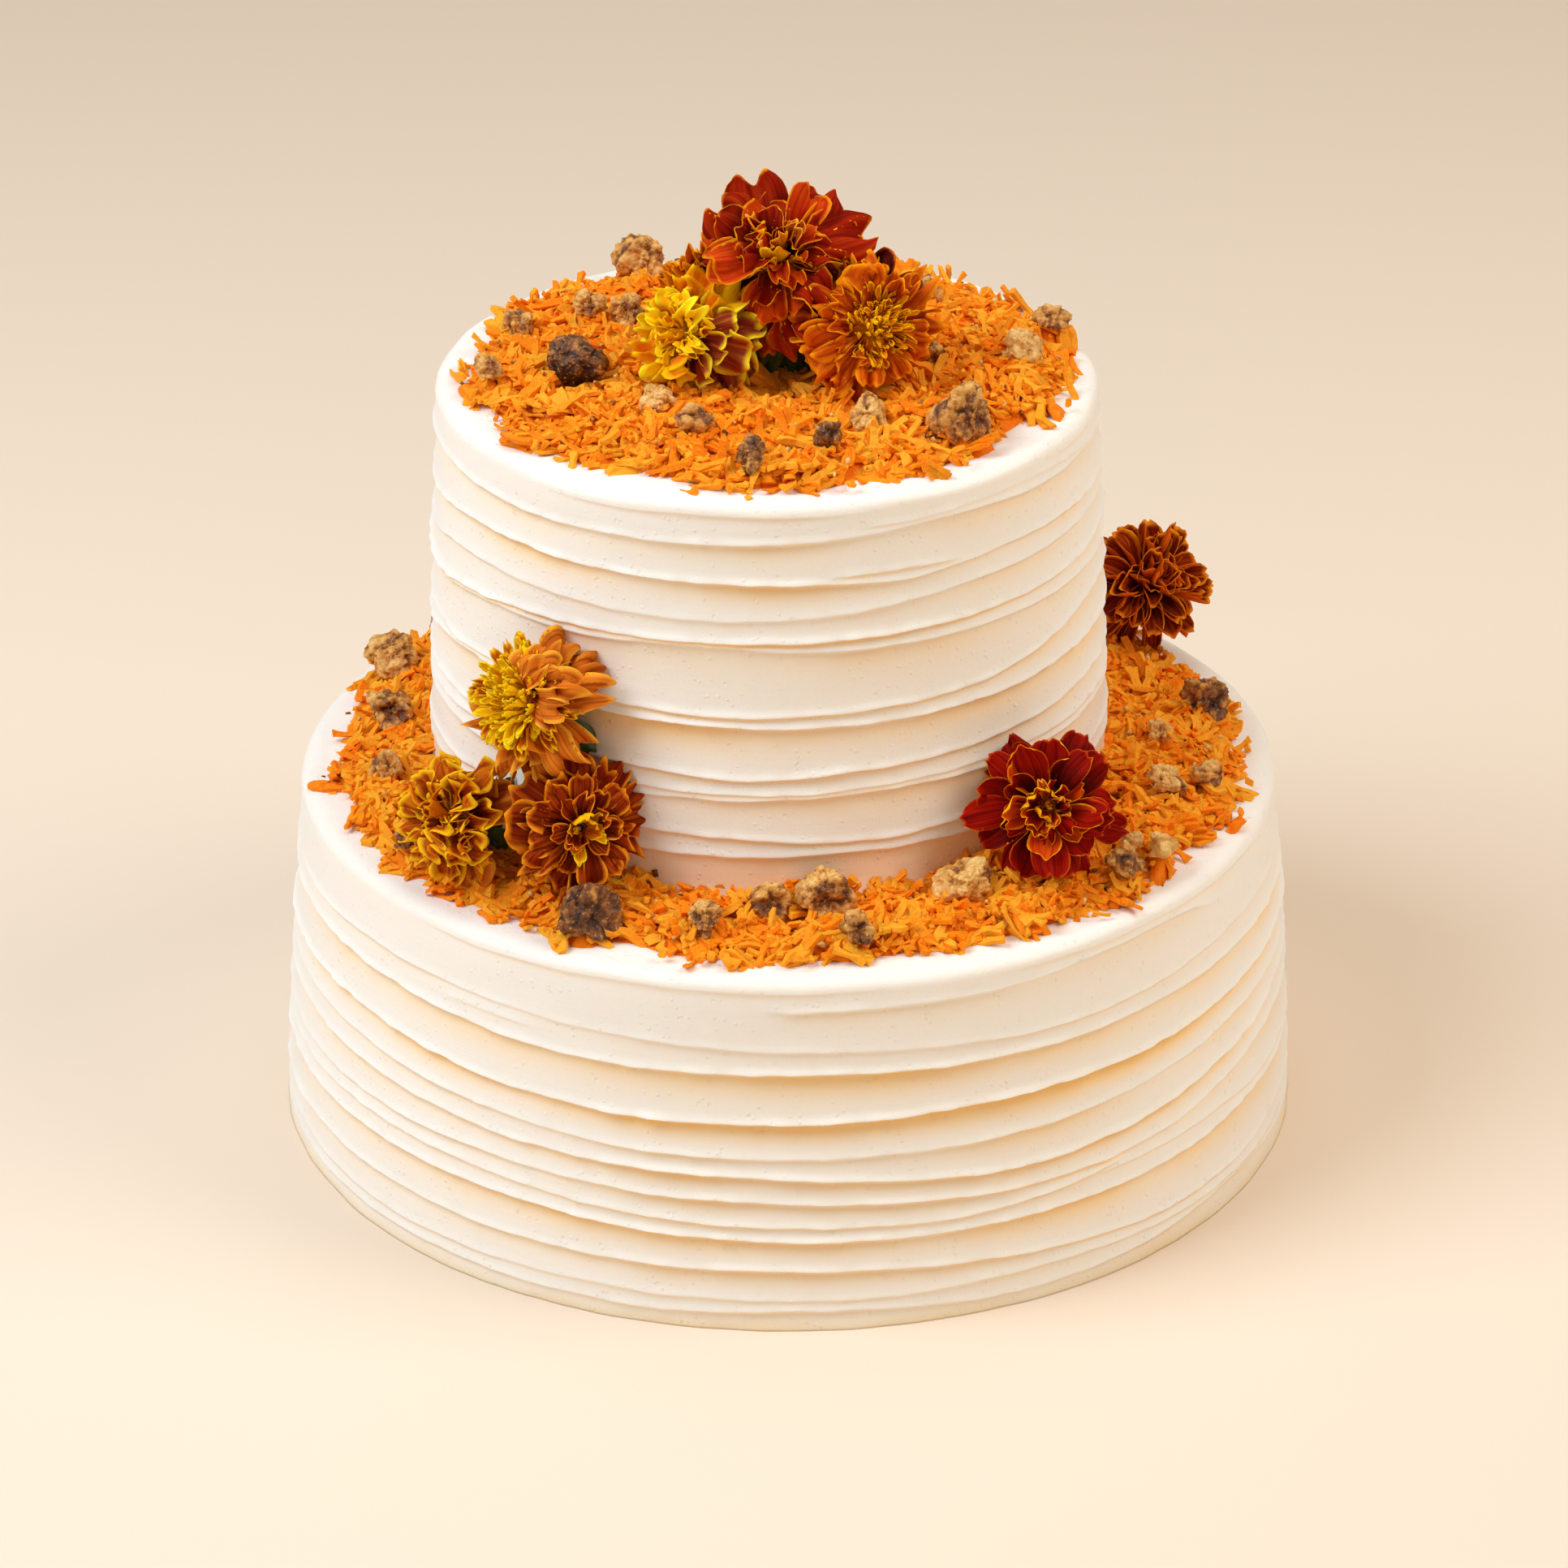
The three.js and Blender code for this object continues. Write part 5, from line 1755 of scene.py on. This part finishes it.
def petal_finish(name, shaded_throat, blade, edge, back, edge_width, mottled):
    """A petal from its golden claw over a dark throat, whose darkness is partly painted shade deep in the
    head, to its paler edge, striped along its length.
    """
    f = Finish("petal_" + name)
    u, v, side = f.split(f.attribute("petal", vector=True))
    tint = f.attribute("shade")
    wobble = f.noise(f.place(), 1.6) - 0.5
    stripes = f.noise(f.combined(u * 5.5 + tint * 40, v * 0.7), 1.0, 2)
    border = abs(u).larger(1 - (1 - v) * 2.6) + wobble * 0.1
    worn = (1 - f.noise(f.place(), 6).ramped(0.38, 0.58)) * max(0.0, 0.85 - 3.2 * edge_width)
    rim = border.ramped(1 - edge_width, 1.0) * (1 - worn)
    out_of_shaded_throat = (v + (tint - 0.5) * 0.8 + wobble * 0.3).ramped(0.1, 0.8)
    # From the dark throat, partly painted shade, out to the blade.
    colour = f.mixed(out_of_shaded_throat, tuple(shaded_throat), tuple(blade))
    colour = f.mixed((stripes - 0.45).ramped(0.0, 0.2) * 0.6, colour, tuple(shaded_throat))
    colour = f.mixed((0.5 - stripes).ramped(0.0, 0.25) * mottled, colour, tuple(edge))
    colour = f.mixed(rim, colour, tuple(edge))
    colour = f.mixed((0.26 - v).ramped(0.0, 0.2) * 0.8, colour, tuple(back))
    behind = f.mixed((stripes - 0.3).clamped() * (0.4 + v), tuple(back), tuple(blade))
    colour = f.mixed(side, colour, behind)
    return f.finish(
        Base_Color=colour,
        Roughness=0.5 + stripes * 0.25,
        Normal=f.bump(stripes, 0.5, 0.25),
        Specular_IOR_Level=0.04,
        Subsurface_Weight=0.1,
        Subsurface_Radius=(1.0, 0.35, 0.08),
        Subsurface_Scale=0.8 * MM,
    )


def green_finish(settings):
    """Dark green, a little lighter along the ribs."""
    f = Finish("marigold_green")
    ribs = f.noise(f.place(), 1.4)
    colour = f.mixed(ribs, tuple(settings.green), (0.06, 0.1, 0.02))
    return f.finish(Base_Color=colour, Roughness=0.45 + ribs * 0.2, Normal=f.bump(ribs, 0.4, 0.3))


def petal_finishes(settings):
    """Every petal finish by name."""
    named = (settings.crimson, settings.maroon, settings.rust, settings.gold)
    crimson, maroon, rust, gold = map(tuple, named)
    scarlet = (0.62, 0.06, 0.003)
    amber = (0.88, 0.29, 0.004)
    lemon = (1.0, 0.8, 0.02)
    # throat (the petal's own darker base, partly painted shade), blade, edge and back colours, width of the
    # edge, and how mottled
    looks = {
        "crimson": (maroon, crimson, scarlet, gold, 0.12, 0.1),
        "ember": ((0.07, 0.002, 0.001), (0.34, 0.012, 0.001), amber, gold, 0.08, 0.1),
        "maroon": ((0.05, 0.006, 0.002), maroon, rust, maroon, 0.1, 0.1),
        "scarlet": (crimson, scarlet, amber, gold, 0.16, 0.25),
        "rust": ((0.3, 0.02, 0.002), rust, amber, amber, 0.3, 0.4),
        "yellow": ((0.95, 0.38, 0.003), (1.0, 0.64, 0.004), lemon, gold, 0.4, 0.4),
        "amber": (rust, amber, gold, gold, 0.3, 0.4),
        "tawny": ((0.2, 0.015, 0.003), (0.76, 0.2, 0.014), (1.0, 0.46, 0.04), amber, 0.3, 0.3),
        "tipped": ((0.1, 0.005, 0.001), (0.56, 0.1, 0.003), (1.0, 0.56, 0.01), amber, 0.36, 0.4),
        "flushed": ((0.16, 0.01, 0.004), (0.4, 0.06, 0.02), lemon, gold, 0.34, 0.15),
        "mahogany": ((0.05, 0.002, 0.001), (0.32, 0.03, 0.002), (0.92, 0.3, 0.01), rust, 0.3, 0.25),
    }
    finishes = {name: petal_finish(name, *look) for name, look in looks.items()}
    finishes["green"] = green_finish(settings)
    return finishes


class CAKE_OT_marigolds(bpy.types.Operator):
    """Make the marigold heads"""

    bl_idname = "cake.marigolds"
    bl_label = "Marigold Heads"

    def execute(self, context):
        settings = context.scene.cake_marigolds
        materials = petal_finishes(settings)
        tree = seated_tree()
        for head in HEADS:
            marigold(head, tree, materials, settings)
        return {"FINISHED"}


# ---- Stage ----

AIM = Vector((-0.99, 0, 76.91)) * MM
ROLL = math.radians(0.182)  # how far the camera leans over
SENSOR = 36.0  # millimetres across
CLIP_END = 50.0  # metres
FLOOR_SIZE = 6.0  # metres
LIT_POINT = Vector((0, 0, 0.1))  # where the lights point
WORLD_COLOUR = (1.0, 0.78, 0.54)
WORLD_STRENGTH = 0.31

# A round soft light: azimuth and elevation in degrees, distance and size in metres, watts and colour.
Light = namedtuple("Light", "name azimuth elevation distance size watts colour")
LIGHTS = (
    Light("key", -68, 48, 1.5, 1.0, 18, (0.84, 0.92, 1.0)),
    Light("fill", 76, 46, 1.6, 1.0, 11.5, (1.0, 0.94, 0.87)),
    Light("front", 6, 10, 1.7, 1.2, 2.2, (1.0, 0.86, 0.68)),
    Light("top", 170, 74, 1.6, 0.9, 4, (1.0, 0.98, 0.96)),
)


def stage_floor(colour):
    """A plain floor for the cake to stand on."""
    material = Finish("stage_floor").finish(Base_Color=tuple(colour), Roughness=0.9)
    half = FLOOR_SIZE / 2 / MM
    corners = [(-half, -half, 0), (half, -half, 0), (half, half, 0), (-half, half, 0)]
    object_of(new_mesh("stage_floor", corners, [(0, 1, 2, 3)], material))


def add_lights():
    """Round soft lights on the cake, and a warm even light all round."""
    for light in LIGHTS:
        lamp = bpy.data.lights.new("stage_" + light.name, "AREA")
        lamp.shape = "DISK"
        lamp.size = light.size
        lamp.energy = light.watts
        lamp.color = light.colour
        item = linked(bpy.data.objects.new(lamp.name, lamp))
        back = direction(light.azimuth, light.elevation)
        item.location = LIT_POINT + back * light.distance
        item.rotation_euler = (-back).to_track_quat("-Z", "Y").to_euler()
    world = bpy.data.worlds.new("stage_light")
    world.use_nodes = True
    background = world.node_tree.nodes["Background"]
    background.inputs["Color"].default_value = (*WORLD_COLOUR, 1)
    background.inputs["Strength"].default_value = WORLD_STRENGTH
    bpy.context.scene.world = world


def add_camera(settings):
    """The camera in front of the cake, looking down at it."""
    camera = bpy.data.cameras.new("stage_camera")
    camera.lens = settings.lens
    camera.sensor_width = SENSOR
    camera.clip_end = CLIP_END
    item = linked(bpy.data.objects.new("stage_camera", camera))
    back = direction(0, math.degrees(settings.elevation))
    item.location = AIM + back * settings.distance
    level = (-back).to_track_quat("-Z", "Y").to_matrix()
    item.rotation_euler = (level @ Matrix.Rotation(-ROLL, 3, "Z")).to_euler()
    bpy.context.scene.camera = item


class CAKE_OT_stage(bpy.types.Operator):
    """Set up the floor, the lights and the camera"""

    bl_idname = "cake.stage"
    bl_label = "Stage"

    def execute(self, context):
        settings = context.scene.cake_stage
        context.scene.view_settings.view_transform = "Standard"
        stage_floor(settings.floor)
        add_lights()
        add_camera(settings)
        return {"FINISHED"}


# ---- Panel and registration ----

OPERATORS = (CAKE_OT_stage, CAKE_OT_frosting, CAKE_OT_carrot, CAKE_OT_walnuts, CAKE_OT_marigolds)
SETTINGS = {
    "cake_frosting": FrostingSettings,
    "cake_carrot": CarrotSettings,
    "cake_walnuts": WalnutSettings,
    "cake_marigolds": MarigoldSettings,
    "cake_stage": StageSettings,
}


class CAKE_PT_panel(bpy.types.Panel):
    """Lists the cake's pieces and their settings"""

    bl_label = "Carrot Cake"
    bl_idname = "CAKE_PT_panel"
    bl_space_type = "VIEW_3D"
    bl_region_type = "UI"
    bl_category = "Cake"

    def draw(self, context):
        for operator in OPERATORS:
            self.layout.operator(operator.bl_idname)
        for name, group in SETTINGS.items():
            box = self.layout.box()
            for setting in group.__annotations__:
                box.prop(getattr(context.scene, name), setting)


def register():
    for group in (*SETTINGS.values(), *OPERATORS, CAKE_PT_panel):
        bpy.utils.register_class(group)
    for name, group in SETTINGS.items():
        setattr(bpy.types.Scene, name, PointerProperty(type=group))


def unregister():
    for name in SETTINGS:
        delattr(bpy.types.Scene, name)
    for group in reversed((*SETTINGS.values(), *OPERATORS, CAKE_PT_panel)):
        bpy.utils.unregister_class(group)


def main():
    """Makes every piece."""
    register()
    for operator in OPERATORS:
        getattr(bpy.ops.cake, operator.bl_idname.split(".")[1])()


if __name__ == "__main__":
    main()
